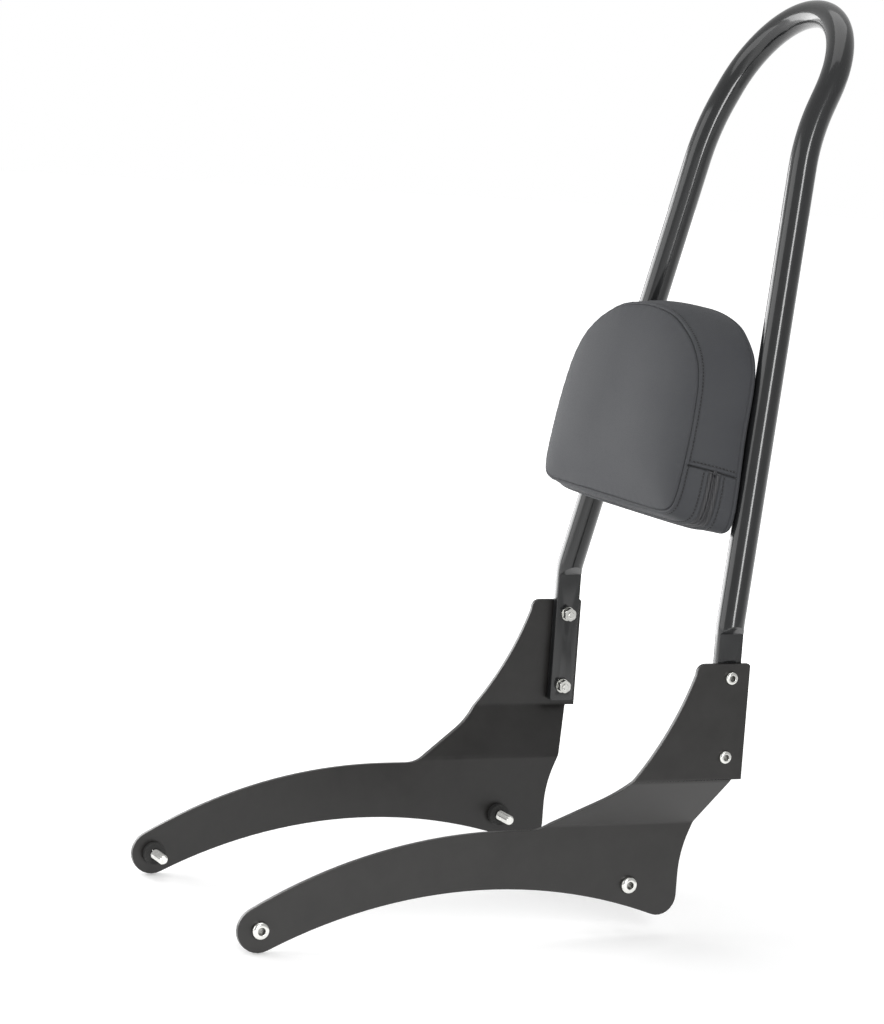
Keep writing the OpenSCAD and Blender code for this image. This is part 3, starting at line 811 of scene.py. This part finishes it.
def smooth_curve(points):
    """A dense smooth curve through the points of half an outline, and the way along it."""
    mirrored = [(-x, w) for x, w in points]
    closed = mirrored[2:0:-1] + points + mirrored[-2:-4:-1]
    dense = []
    for k in range(2, len(closed) - 3):
        p0, p1, p2, p3 = (Vector(closed[k + j]) for j in (-1, 0, 1, 2))
        for j in range(24):
            t = j / 24
            dense.append(0.5 * (2 * p1 + (p2 - p0) * t + (2 * p0 - 5 * p1 + 4 * p2 - p3) * t * t
                                + (3 * p1 - p0 - 3 * p2 + p3) * t ** 3))
    dense.append(Vector(points[-1]))
    sums = [0.0]
    for a, b in zip(dense, dense[1:]):
        sums.append(sums[-1] + (b - a).length)
    return dense, sums


def stations(count, close):
    """Shares of the way up half the outline: even ones, and close ones about the cross seam."""
    dense, sums = smooth_curve(FRONT_SEAM)
    shares = [i / count for i in range(count + 1)]
    if close:
        side = [k for k, p in enumerate(dense) if p.x > 90]
        k = min(side, key=lambda j: abs(dense[j].y - CROSS_SEAM))
        shares = [t for t in shares if not -4.2 < t * sums[-1] - sums[k] < 6.2]
        shares += [(sums[k] + d) / sums[-1]
                   for d in (-4, -3, -2.2, -1.6, -1.1, -0.7, -0.4, 0, 0.4, 0.8, 1.2, 1.8, 2.4, 2.9,
                             3.3, 3.7, 4.2, 5, 6)]
    return sorted(shares)


def outline(points, shares):
    """The points of the whole outline at these shares, round to the left half and back."""
    dense, sums = smooth_curve(points)
    half, k = [], 0
    for share in shares:
        want = sums[-1] * share
        while k < len(sums) - 2 and sums[k + 1] < want:
            k += 1
        t = (want - sums[k]) / (sums[k + 1] - sums[k])
        half.append(dense[k].lerp(dense[k + 1], min(max(t, 0), 1)))
    return half + [Vector((-p.x, p.y)) for p in half[-2:0:-1]]


def outward(path):
    """The outward direction at each point of an outline."""
    turned = []
    for i in range(len(path)):
        along = path[(i + 1) % len(path)] - path[i - 1]
        turned.append(Vector((along.y, -along.x)).normalized())
    return turned


class PadForm:
    """The backrest as rings of points: out over the back, forward along the gusset to the
    seam, and in over the front panel. Each point keeps its distance from the seam and from
    the back's edge, so that seams and stitches can be put in later."""

    def __init__(self, shares, gusset, front_near, front_in, back_in, crown, bulge):
        self.seam = outline(FRONT_SEAM, shares)
        # the cross seam ends a little higher at the back than at the front
        self.back = outline(BACK_EDGE, [t + SEAM_RISE * sin(pi * t) for t in shares])
        self.around = len(self.seam)
        self.rings, self.kinds = [], []
        middle = Vector(PAD_MIDDLE)
        edge = list(zip(self.back, self.seam, outward(self.back)))
        for t in back_in:
            self.add([(middle.lerp(b - side * BACK_ROUND, t), 0.0) for b, _, side in edge],
                     ("back", 0))
        for depth in gusset:
            t = depth / PAD_DEPTH
            stand = bulge * (1 - (2 * t - 1) ** 2) ** 0.8
            if depth < BACK_ROUND:
                stand -= BACK_ROUND * (1 - sqrt(1 - (1 - depth / BACK_ROUND) ** 2))
            self.add([(b.lerp(f, t) + side * stand, depth) for b, f, side in edge],
                     ("gusset", depth))
        for near in front_near:
            ring = [(middle.lerp(p, 1 - near / (p - middle).length), near, (p - middle).length)
                    for p in self.seam]
            self.add_front(ring, near, crown)
        for t in front_in:
            self.add_front([(middle.lerp(p, 1 - t), r - (r - n) * (1 - t), r) for p, n, r in ring],
                           20, crown)

    def add_front(self, ring, near, crown):
        """Adds a ring of the front panel, from each point's place, distance from the seam and
        the seam's distance from the middle."""
        self.add([(p, PAD_DEPTH + crown * self.rise(n, r) * self.fullness(p.y))
                  for p, n, r in ring], ("front", near))

    @staticmethod
    def rise(near, reach):
        """The front panel's height: it rolls up from the seam and goes on as a shallow dome."""
        roll = 1 - max(1 - near / 45, 0) ** 3.4
        return 0.8 * roll + 0.2 * (1 - max(1 - near / reach, 0) ** 2)

    @staticmethod
    def fullness(height):
        """The front panel is stuffed less towards its lower edge."""
        t = min(max((height - 74) / 70, 0), 1)
        return 0.5 + 0.5 * t * (2 - t)

    def add(self, points, kind):
        self.rings.append([leg_plane(p.x * MM, p.y * MM, (PAD_BACK + depth) * MM).translation
                           for p, depth in points])
        self.kinds.append(kind)

    def points(self):
        """All points, with the middles of the back and of the front last."""
        return sum(self.rings, []) + [sum(ring, Vector()) / self.around
                                      for ring in (self.rings[0], self.rings[-1])]

    def faces(self):
        n, m = self.around, len(self.rings)
        turns = [(i, (i + 1) % n) for i in range(n)]
        faces = [(k * n + i, k * n + j, (k + 1) * n + j, (k + 1) * n + i)
                 for k in range(m - 1) for i, j in turns]
        faces += [(i, m * n, j) for i, j in turns]
        return faces + [((m - 1) * n + i, (m - 1) * n + j, m * n + 1) for i, j in turns]


def stuffed(size):
    """Stuffs a coarse copy of the cover with cloth simulation, and returns how far each of
    its points moved, as a search tree of places and a list of moves."""
    form = PadForm(stations(60, False), [0, 3, 7, 12, 17, 22, 27, 32, 37, 42, 47.5], [4, 8],
                   [0.12, 0.24, 0.36, 0.48, 0.6, 0.7, 0.8, 0.88, 0.95],
                   [0.1, 0.3, 0.5, 0.7, 0.85, 0.95],
                   size.pad_crown / MM, size.gusset_bulge / MM)
    bag = mesh_piece("stuffing", form.points(), form.faces())
    # the back and both edges of the gusset are held, and the middle of the back
    held = bag.vertex_groups.new(name="held")
    n = form.around
    for k, kind in enumerate(form.kinds):
        if kind in (("back", 0), ("gusset", 0), ("gusset", PAD_DEPTH)):
            held.add(list(range(k * n, (k + 1) * n)), 1.0, "REPLACE")
    held.add([len(form.rings) * n], 1.0, "REPLACE")
    cloth = bag.modifiers.new("Cloth", "CLOTH").settings
    for name, value in {"quality": 6, "mass": 0.3, "tension_stiffness": 6,
                        "compression_stiffness": 6, "shear_stiffness": 3,
                        "bending_stiffness": 0.2, "use_pressure": True,
                        "uniform_pressure_force": 6, "vertex_group_mass": "held"}.items():
        setattr(cloth, name, value)
    cloth.effector_weights.gravity = 0
    scene = bpy.context.scene
    for step in range(1, 21):
        scene.frame_set(step)
    moved = bag.evaluated_get(bpy.context.evaluated_depsgraph_get()).data
    moves = []
    tree = kdtree.KDTree(len(bag.data.vertices))
    for rest, new in zip(bag.data.vertices, moved.vertices):
        move = new.co - rest.co
        if move.length > size.pad_cap:
            move = move.normalized() * size.pad_cap
        moves.append(move)
        tree.insert(rest.co, rest.index)
    tree.balance()
    scene.frame_set(1)
    discard(bag)
    return tree, moves


def pull(values, x):
    """A height between the named stations (x, height), eased from one to the next."""
    if x <= values[0][0]:
        return values[0][1]
    for (xa, a), (xb, b) in zip(values, values[1:]):
        if x <= xb:
            t = (x - xa) / (xb - xa)
            return a + (b - a) * (3 * t * t - 2 * t ** 3)
    return values[-1][1]


class Cover:
    """The finished surface of the backrest, kept for the stitches and the zip that lie on it."""


def cover_normal(rings, k, i):
    n, m = len(rings[0]), len(rings)
    along = rings[k][(i + 1) % n] - rings[k][i - 1]
    across = rings[min(k + 1, m - 1)][i] - rings[max(k - 1, 0)][i]
    return along.cross(across).normalized()


def on_gusset(i, depth):
    """The place and outward normal of a point of the gusset, i steps round and depth
    millimetres from the back."""
    n = Cover.form.around
    k = next(j for j in range(len(Cover.depths) - 1) if Cover.depths[j + 1][0] >= depth)
    (d0, r0), (d1, r1) = Cover.depths[k], Cover.depths[k + 1]
    a, b = int(i) % n, (int(i) + 1) % n
    under, over = Cover.rings[r0], Cover.rings[r1]
    normal = (under[b] - under[a]).cross(over[a] - under[a]).normalized()
    low, high = (ring[a].lerp(ring[b], i - int(i)) for ring in (under, over))
    return low.lerp(high, (depth - d0) / (d1 - d0)), normal


class SISSYBAR_OT_pad(bpy.types.Operator):
    """Sews and stuffs the backrest: a crowned front panel, a gusset and a flat back"""
    bl_idname = "sissybar.pad"
    bl_label = "Backrest"

    def execute(self, context):
        size = context.scene.sissy_bar_sizes
        allowance = size.seam_allowance / MM
        half_zip = size.zip_gap / MM / 2
        mid = PAD_DEPTH / 2 - 0.3
        near = [PAD_DEPTH - d
                for d in (0, 0.35, 0.7, 1.0, 1.5, 2.2, allowance - 0.8, allowance - 0.4,
                          allowance, allowance + 0.4, allowance + 1.0, 6.5)]
        zip_lines = [mid + s * (half_zip + d) for s in (-1, 1)
                     for d in (-1.0, -0.5, -0.2, 0.1, 0.6, 1.2, 2.0, 2.6, 3.0, 3.3, 3.7, 4.5)]
        gusset = sorted({0, 0.3, 0.7, 1.3, 2.1, 3, 3.8, 4.4, 5.0, 6.5, 8.5, 10.5, 12.5, mid - 2.5,
                         mid, mid + 2.5, 34.5, 36.5, 38.5, 40, *near, *zip_lines})
        form = PadForm(stations(180, True), gusset, [0.35, 0.7, 1.1, 1.7, 2.6, 4, 6, 8.5],
                       [k / 26 for k in range(1, 26)],
                       [0.06, 0.25, 0.45, 0.65, 0.8, 0.9, 0.96, 0.985],
                       size.pad_crown / MM, size.gusset_bulge / MM)
        rings = form.rings
        n = form.around
        heights = [p.y for p in form.seam]
        tree, moves = stuffed(size)
        for (zone, depth), ring in zip(form.kinds, rings):
            # the cover moves with its stuffing, except at its seams and over the board
            away = depth if zone == "front" else min(depth, PAD_DEPTH - depth)
            share = min(away / 7, 1)
            for i, p in enumerate(ring if zone != "back" else []):
                total, weights = Vector(), 0.0
                for _, index, distance in tree.find_range(p, 0.022):
                    weight = exp(-(distance / 0.0095) ** 2)
                    total += moves[index] * weight
                    weights += weight
                if weights:
                    ring[i] = p + total / weights * (share * (2 - share))

        # Relief along the seams, as (distance, height) in millimetres: the gusset beside the front
        # seam with its topstitch, the front panel beside it, the gusset above and below the
        # cross seam, the flaps beside the zip, and the welt at the back
        normals = [[cover_normal(rings, k, i) for i in range(n)] for k in range(len(rings))]
        centre = leg_plane(0, 0.150, 0.035).translation
        half_up = len(rings) // 2
        if (rings[half_up][0] - centre).dot(normals[half_up][0]) < 0:
            normals = [[-v for v in row] for row in normals]
        deep = size.seam_depth / MM
        groove = [(0, -deep), (0.35, -deep * 0.55), (0.7, 0.0), (1.0, 0.5), (1.5, 0.85),
                  (2.2, 0.85), (allowance - 0.8, 0.6), (allowance - 0.4, 0.1), (allowance, -0.5),
                  (allowance + 0.4, -0.3), (allowance + 1.0, 0)]
        panel = [(0, -deep), (0.35, -deep * 0.6), (0.7, -deep * 0.25), (1.1, -0.15), (1.7, 0.0)]
        band = [(0, -deep), (0.4, -deep * 0.45), (0.8, 0.3), (1.2, 0.75), (1.8, 0.85), (2.4, 0.7),
                (2.9, 0.2), (3.3, -0.35), (3.7, -0.45), (4.2, -0.15), (5, 0)]
        below = [(-3, 0.0), (-1.6, 0.15), (-1.1, 0.0), (-0.7, -0.4), (-0.4, -deep * 0.5),
                 (0, -deep)]
        fly = [(-1.0, -2.0), (-0.5, -1.7), (-0.2, -1.0), (0.1, 0.1), (0.6, 0.75), (1.2, 0.85),
               (2.0, 0.55), (2.6, 0.2), (3.0, -0.3), (3.3, -0.5), (3.7, -0.25), (4.5, 0)]
        welt = [(2.1, 0), (3.0, 0.25), (3.8, -0.2), (4.4, -0.8), (5.0, -0.1), (6.5, 0)]
        for k, ((zone, depth), ring) in enumerate(zip(form.kinds, rings)):
            for i in range(n if zone != "back" else 0):
                if zone == "front":
                    away = depth
                    push = pull(panel, away)
                else:
                    away = PAD_DEPTH - depth
                    push = pull(groove, away) + pull(welt, depth)
                    w = heights[i] - CROSS_SEAM
                    inside = min(max(depth - 5, 0) / 1.5, 1) * min(max(away - 1.5, 0) / 2, 1)
                    push += pull(band if w >= 0 else below, w) * inside
                    if w < -0.3:
                        push += pull(fly, abs(depth - mid) - half_zip) * min((-0.3 - w) / 1.5, 1)
                if away < 14:
                    # the cover puckers a little between the stitches
                    wave = sin(i * 2 * pi / 6.3 + 2 * sin(3 * (i / n * 2 * pi)))
                    push += 0.12 * wave * exp(-away / 5) * min(away / 1.5, 1)
                ring[i] = ring[i] + normals[k][i] * push * MM
        pad = mesh_piece("backrest_cover", form.points(), form.faces())
        Cover.form, Cover.rings = form, rings
        Cover.depths = [(depth, k) for k, (zone, depth) in enumerate(form.kinds)
                        if zone == "gusset"]
        Cover.heights, Cover.mid, Cover.half_zip = heights, mid, half_zip
        smooth(pad, 60)
        dress(pad, "pad_vinyl", paint("grey_black_vinyl"), "pad_cover", "pad_foam")
        return {"FINISHED"}


def add_tube(points, faces, rings):
    """Adds a closed tube of six sides to a mesh, from its rings' (place, side, normal, radius)."""
    base = len(points)
    for place, side, normal, radius in rings:
        for j in range(6):
            a = j / 6 * 2 * pi
            points.append(place + (side * cos(a) + normal * sin(a)) * radius)
    for k in range(base, len(points) - 6, 6):
        for j in range(6):
            a, b = k + j, k + (j + 1) % 6
            faces.append((a, b, b + 6, a + 6))
    faces.append(tuple(range(base, base + 6))[::-1])
    faces.append(tuple(range(len(points) - 6, len(points))))


def shade_thread_in_seam(name, path, radius):
    """A dark thread drawn tight in the bottom of a seam, along a path of (place, normal): partly
    the seam's own thread, partly painted shade that darkens the seam's line.
    """
    points, faces, rings = [], [], []
    for k, (place, normal) in enumerate(path):
        ahead = path[min(k + 1, len(path) - 1)][0] - path[max(k - 1, 0)][0]
        rings.append((place, normal.cross(ahead).normalized(), normal, radius))
    add_tube(points, faces, rings)
    line = mesh_piece(name, points, faces)
    smooth(line, 60)
    return line


# A stitch: how much of its pitch it covers, how far it looks ahead for its direction, and
# seven stations along it with their share of its length, sink and thickness
STITCH_COVERS, STITCH_AHEAD = 0.875, 0.0004
STITCH = [(-0.5, -0.9, 0.25), (-0.42, -0.45, 0.75), (-0.22, -0.02, 1.0), (0.0, 0.12, 1.0),
          (0.22, -0.02, 1.0), (0.42, -0.45, 0.75), (0.5, -0.9, 0.25)]


def stitch_row(name, path, size):
    """Stitches along a path of (place, normal): short lengths of thread, sunk at their ends."""
    radius = size.thread_d / 2
    sums = [0.0]
    for (a, _), (b, _) in zip(path, path[1:]):
        sums.append(sums[-1] + (b - a).length)

    def at(distance):
        k = min(bisect_right(sums, distance), len(sums) - 1) - 1
        t = (distance - sums[k]) / max(sums[k + 1] - sums[k], 1e-9)
        (p, up), (q, up_next) = path[k], path[k + 1]
        return p.lerp(q, t), up.lerp(up_next, t).normalized()

    count = int(sums[-1] / size.stitch_pitch)
    points, faces = [], []
    for s in range(count):
        middle = (s + 0.5) * sums[-1] / count
        rings = []
        for share, sink, thick in STITCH:
            way = share * size.stitch_pitch
            p, normal = at(min(max(middle + way * STITCH_COVERS, 0), sums[-1]))
            q, _ = at(min(middle + STITCH_AHEAD + way, sums[-1]))
            along = (q - p).normalized() if (q - p).length > 1e-7 else Vector((1, 0, 0))
            rings.append((p + normal * (sink * radius * 1.6 + radius * 0.35),
                          normal.cross(along).normalized(), normal, radius * thick))
        add_tube(points, faces, rings)
    row = mesh_piece(name, points, faces)
    smooth(row, 60)
    return row


class SISSYBAR_OT_pad_stitching(bpy.types.Operator):
    """Sews the topstitches round the front panel, over the cross seams and along the zip, and lays
    dark threads in the seams that are partly thread and partly painted shade
    """
    bl_idname = "sissybar.pad_stitching"
    bl_label = "Backrest stitching"

    def execute(self, context):
        size = context.scene.sissy_bar_sizes
        n = Cover.form.around
        stitched = PAD_DEPTH - size.seam_allowance / MM
        # the dark threads in the bottom of the seams: partly real thread, partly painted shade that
        # darkens the seam lines
        shade_thread_radius = size.thread_d * 0.6
        above, closing = ([on_gusset(i, depth) for i in range(n + 1)]
                          for depth in (stitched, PAD_DEPTH - 0.2))
        rows = [stitch_row("topstitch_front", above, size),
                shade_thread_in_seam("dark_thread_as_seam_shade_front", closing, shade_thread_radius)]
        # how many steps round the cross seam is, and its topstitch 3.5 mm higher
        seam, stitch = (min(range(n // 8, n // 2),
                            key=lambda i: abs(Cover.heights[i] - CROSS_SEAM - lift))
                        for lift in (0.0, 3.5))
        for side, turn in (("left", lambda i: i), ("right", lambda i: n - i)):
            path = [on_gusset(turn(stitch), d) for d in range(6, int(stitched))]
            rows.append(stitch_row(f"topstitch_cross_{side}", path, size))
            # a dark thread in the cross seam: partly real thread, partly painted shade
            path = [on_gusset(turn(seam), d) for d in range(5, int(stitched))]
            rows.append(shade_thread_in_seam(f"dark_thread_as_seam_shade_cross_{side}", path, shade_thread_radius))
        start = max(i for i in range(n // 2) if Cover.heights[i] < CROSS_SEAM - 1.5)
        for name, sign in (("front", 1), ("back", -1)):
            depth = Cover.mid + sign * (Cover.half_zip + 3.3)
            path = [on_gusset(i % n, depth) for i in range(n - start, n + start + 1)]
            rows.append(stitch_row(f"topstitch_zip_{name}", path, size))
        for row in rows:
            dress(row, "zip_tape", paint("black_polyester_thread"))
        return {"FINISHED"}


class SISSYBAR_OT_pad_zip(bpy.types.Operator):
    """Lays the zip's tape and its closed coil under the two flaps"""
    bl_idname = "sissybar.pad_zip"
    bl_label = "Backrest zip"

    def execute(self, context):
        n = Cover.form.around
        start = max(i for i in range(n // 2) if Cover.heights[i] < CROSS_SEAM - 0.3)
        half = Cover.half_zip
        # half a section across the zip: distance from its middle and height over the recess
        side = [(0.25, 2.35), (0.8, 2.3), (1.5, 1.6), (1.7, 0.6), (2.6, 0.35), (half - 0.6, 0.3),
                (half + 0.1, -0.5)]
        section = [(-d, rise) for d, rise in side[::-1]] + [(0, 1.9)] + side
        points = []
        steps, m = 4 * start + 1, len(section)
        for k in range(steps):
            for d, rise in section:
                p, normal = on_gusset((n - start + k / 2) % n, Cover.mid + d)
                # every other step of the coil lies lower: its wires are about 2 mm apart here
                tooth = 0.4 * (k % 2) if rise > 1 else 0.0
                points.append(p + normal * (rise - tooth) * MM)
        faces = [(k * m + j, k * m + j + 1, (k + 1) * m + j + 1, (k + 1) * m + j)
                 for k in range(steps - 1) for j in range(m - 1)]
        tape = mesh_piece("zip_tape_and_coil", points, faces)
        smooth(tape, 50)
        dress(tape, "zip_tape", paint("black_nylon_tape"), "pad_zip")
        return {"FINISHED"}


class SISSYBAR_OT_pad_board(bpy.types.Operator):
    """Gives the board inside the backrest its plywood"""
    bl_idname = "sissybar.pad_board"
    bl_label = "Backrest board"

    def execute(self, context):
        repaint(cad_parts["pad_board"], paint("birch_plywood"))
        return {"FINISHED"}


# Stage

class SISSYBAR_OT_stage(bpy.types.Operator):
    """Sets the pale floor, the soft studio lamps and the camera"""
    bl_idname = "sissybar.stage"
    bl_label = "Stage"

    def execute(self, context):
        scene = context.scene
        scene.view_settings.view_transform = "Standard"

        # Photographic paper: plain white. Away from the object the camera sees it burn out,
        # as a lit sweep does, and near the object it keeps the shadow.
        paper, place = new_material("white paper floor")
        seen = add_node(paper, "LightPath").outputs
        way = add_node(paper, "VectorMath", {"operation": "LENGTH"}, links={0: place})
        far = add_node(paper, "MapRange", {"interpolation_type": "SMOOTHSTEP"},
                       {"From Min": 0.4, "From Max": 1.5, "To Min": 0.22, "To Max": 1.0},
                       {"Value": way.outputs["Value"]})
        direct = add_node(paper, "Math", {"operation": "MULTIPLY"},
                          links={0: seen["Is Camera Ray"], 1: far.outputs["Result"]})
        # a dark card on the camera's side, seen only in reflections, keeps the black paint deep
        off = add_node(paper, "VectorMath", {"operation": "DISTANCE"}, {1: (1.5, 0.8, 0)},
                       {0: place})
        card = add_node(paper, "MapRange", {"interpolation_type": "SMOOTHSTEP"},
                        {"From Min": 0.8, "From Max": 1.4, "To Min": 0.1, "To Max": 1.0},
                        {"Value": off.outputs["Value"]})
        mirrored = add_node(paper, "Math", {"operation": "MAXIMUM"},
                            links={0: seen["Is Glossy Ray"], 1: seen["Is Transmission Ray"]})
        mirrored = add_node(paper, "Math", {"operation": "MULTIPLY"},
                            links={0: mirrored.outputs[0], 1: card.outputs["Result"]})
        glow = add_node(paper, "Math", {"operation": "MAXIMUM"},
                        links={0: mirrored.outputs[0], 1: direct.outputs[0]})
        sheet = add_node(paper, "BsdfPrincipled",
                         values={"Base Color": linear("#f4f4f4"), "Roughness": 0.8,
                                 "Specular IOR Level": 0.1, "Emission Color": (1, 1, 1, 1)},
                         links={"Emission Strength": glow.outputs[0]})
        add_node(paper, "OutputMaterial", links={"Surface": sheet.outputs[0]})
        bpy.ops.object.select_all(action="DESELECT")
        bpy.ops.mesh.primitive_plane_add(size=30, location=(0, 0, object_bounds()[0].z - 0.0005))
        floor = context.object
        floor.name = "floor"
        freeze(floor)
        floor.data.materials.append(paper)
        floor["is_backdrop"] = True

        world = bpy.data.worlds.new("studio white")
        scene.world = world
        world.use_nodes = True
        world.node_tree.nodes.clear()
        seen = add_node(world, "LightPath").outputs
        glossy = add_node(world, "Math", {"operation": "MULTIPLY"}, {1: 0.7},
                          {0: seen["Is Glossy Ray"]})
        bright = add_node(world, "Math", {"operation": "MAXIMUM"},
                          links={0: seen["Is Camera Ray"], 1: seen["Is Transmission Ray"]})
        bright = add_node(world, "Math", {"operation": "MAXIMUM"},
                          links={0: bright.outputs[0], 1: glossy.outputs[0]})
        level = add_node(world, "MapRange", None, {"To Min": 0.3, "To Max": 1.0},
                         {"Value": bright.outputs[0]})
        sky = add_node(world, "Background", None, {"Color": (1, 1, 1, 1)},
                       {"Strength": level.outputs["Result"]})
        add_node(world, "OutputWorld", links={"Surface": sky.outputs[0]})

        # A broad box in front, a tall strip on the left, one behind on the right for the rims,
        # and a large one overhead
        middle = Vector((0, 0.15, 0.35))
        for name, place, wide, high, power in (
            ("front_softbox", (-0.45, -2.7, 1.1), 2.2, 2.0, 32),
            ("side_strip", (2.6, -0.08, 0.88), 0.5, 1.75, 44),
            ("rim_softbox", (-1.15, -0.42, 0.36), 1.0, 0.8, 15),
            ("top_softbox", (-0.2, 0.3, 2.9), 2.6, 2.6, 36),
        ):
            lamp = bpy.data.lights.new(name, "AREA")
            lamp.shape = "RECTANGLE"
            lamp.size, lamp.size_y, lamp.energy = wide, high, power
            holder = placed(name, lamp)
            holder.location = place
            holder.rotation_euler = (middle - Vector(place)).to_track_quat("-Z", "Y").to_euler()
            holder.visible_camera = False

        # The camera: a picture 1024 pixels high, seen with 3240.86 pixels of focal length, and
        # its right, its top, its back and its place as the columns of a matrix
        lens = bpy.data.cameras.new("camera")
        lens.sensor_fit = "VERTICAL"
        lens.sensor_height = 24
        lens.lens = 3240.86 * 24 / 1024
        lens.clip_start, lens.clip_end = 0.05, 100
        camera = placed("camera", lens)
        camera.matrix_world = Matrix(((0.41248, -0.14806, 0.89885, 2.27546),
                                      (0.9082, -0.00995, -0.41841, -1.03212),
                                      (0.0709, 0.98893, 0.13037, 0.61395), (0, 0, 0, 1)))
        scene.camera = camera
        return {"FINISHED"}


class SISSYBAR_PT_build(bpy.types.Panel):
    """The sissy bar's pieces, sizes and colours"""
    bl_idname = "SISSYBAR_PT_build"
    bl_label = "Sissy Bar"
    bl_space_type = "VIEW_3D"
    bl_region_type = "UI"
    bl_category = "Sissy Bar"

    def draw(self, context):
        column = self.layout.column()
        for step in STEPS:
            column.operator(step.bl_idname)
        for group in (context.scene.sissy_bar_sizes, context.scene.sissy_bar_colours):
            box = self.layout.box()
            for name in group.bl_rna.properties.keys():
                if name not in ("rna_type", "name"):
                    box.prop(group, name)


STEPS = (
    SISSYBAR_OT_hoop,
    SISSYBAR_OT_side_plates,
    SISSYBAR_OT_carrier_plate,
    SISSYBAR_OT_screws,
    SISSYBAR_OT_nuts_and_washers,
    SISSYBAR_OT_fender_spacers,
    SISSYBAR_OT_pad,
    SISSYBAR_OT_pad_zip,
    SISSYBAR_OT_pad_stitching,
    SISSYBAR_OT_pad_board,
    SISSYBAR_OT_stage,
)
CLASSES = (SissyBarSizes, SissyBarColours) + STEPS + (SISSYBAR_PT_build,)


def register():
    for item in CLASSES:
        bpy.utils.register_class(item)
    bpy.types.Scene.sissy_bar_sizes = bpy.props.PointerProperty(type=SissyBarSizes)
    bpy.types.Scene.sissy_bar_colours = bpy.props.PointerProperty(type=SissyBarColours)


def unregister():
    del bpy.types.Scene.sissy_bar_colours
    del bpy.types.Scene.sissy_bar_sizes
    for item in reversed(CLASSES):
        bpy.utils.unregister_class(item)


def main():
    register()
    bpy.ops.sissybar.hoop()
    bpy.ops.sissybar.side_plates()
    bpy.ops.sissybar.carrier_plate()
    bpy.ops.sissybar.screws()
    bpy.ops.sissybar.nuts_and_washers()
    bpy.ops.sissybar.fender_spacers()
    bpy.ops.sissybar.pad()
    bpy.ops.sissybar.pad_zip()
    bpy.ops.sissybar.pad_stitching()
    bpy.ops.sissybar.pad_board()
    bpy.ops.sissybar.stage()


if __name__ == "__main__":
    main()
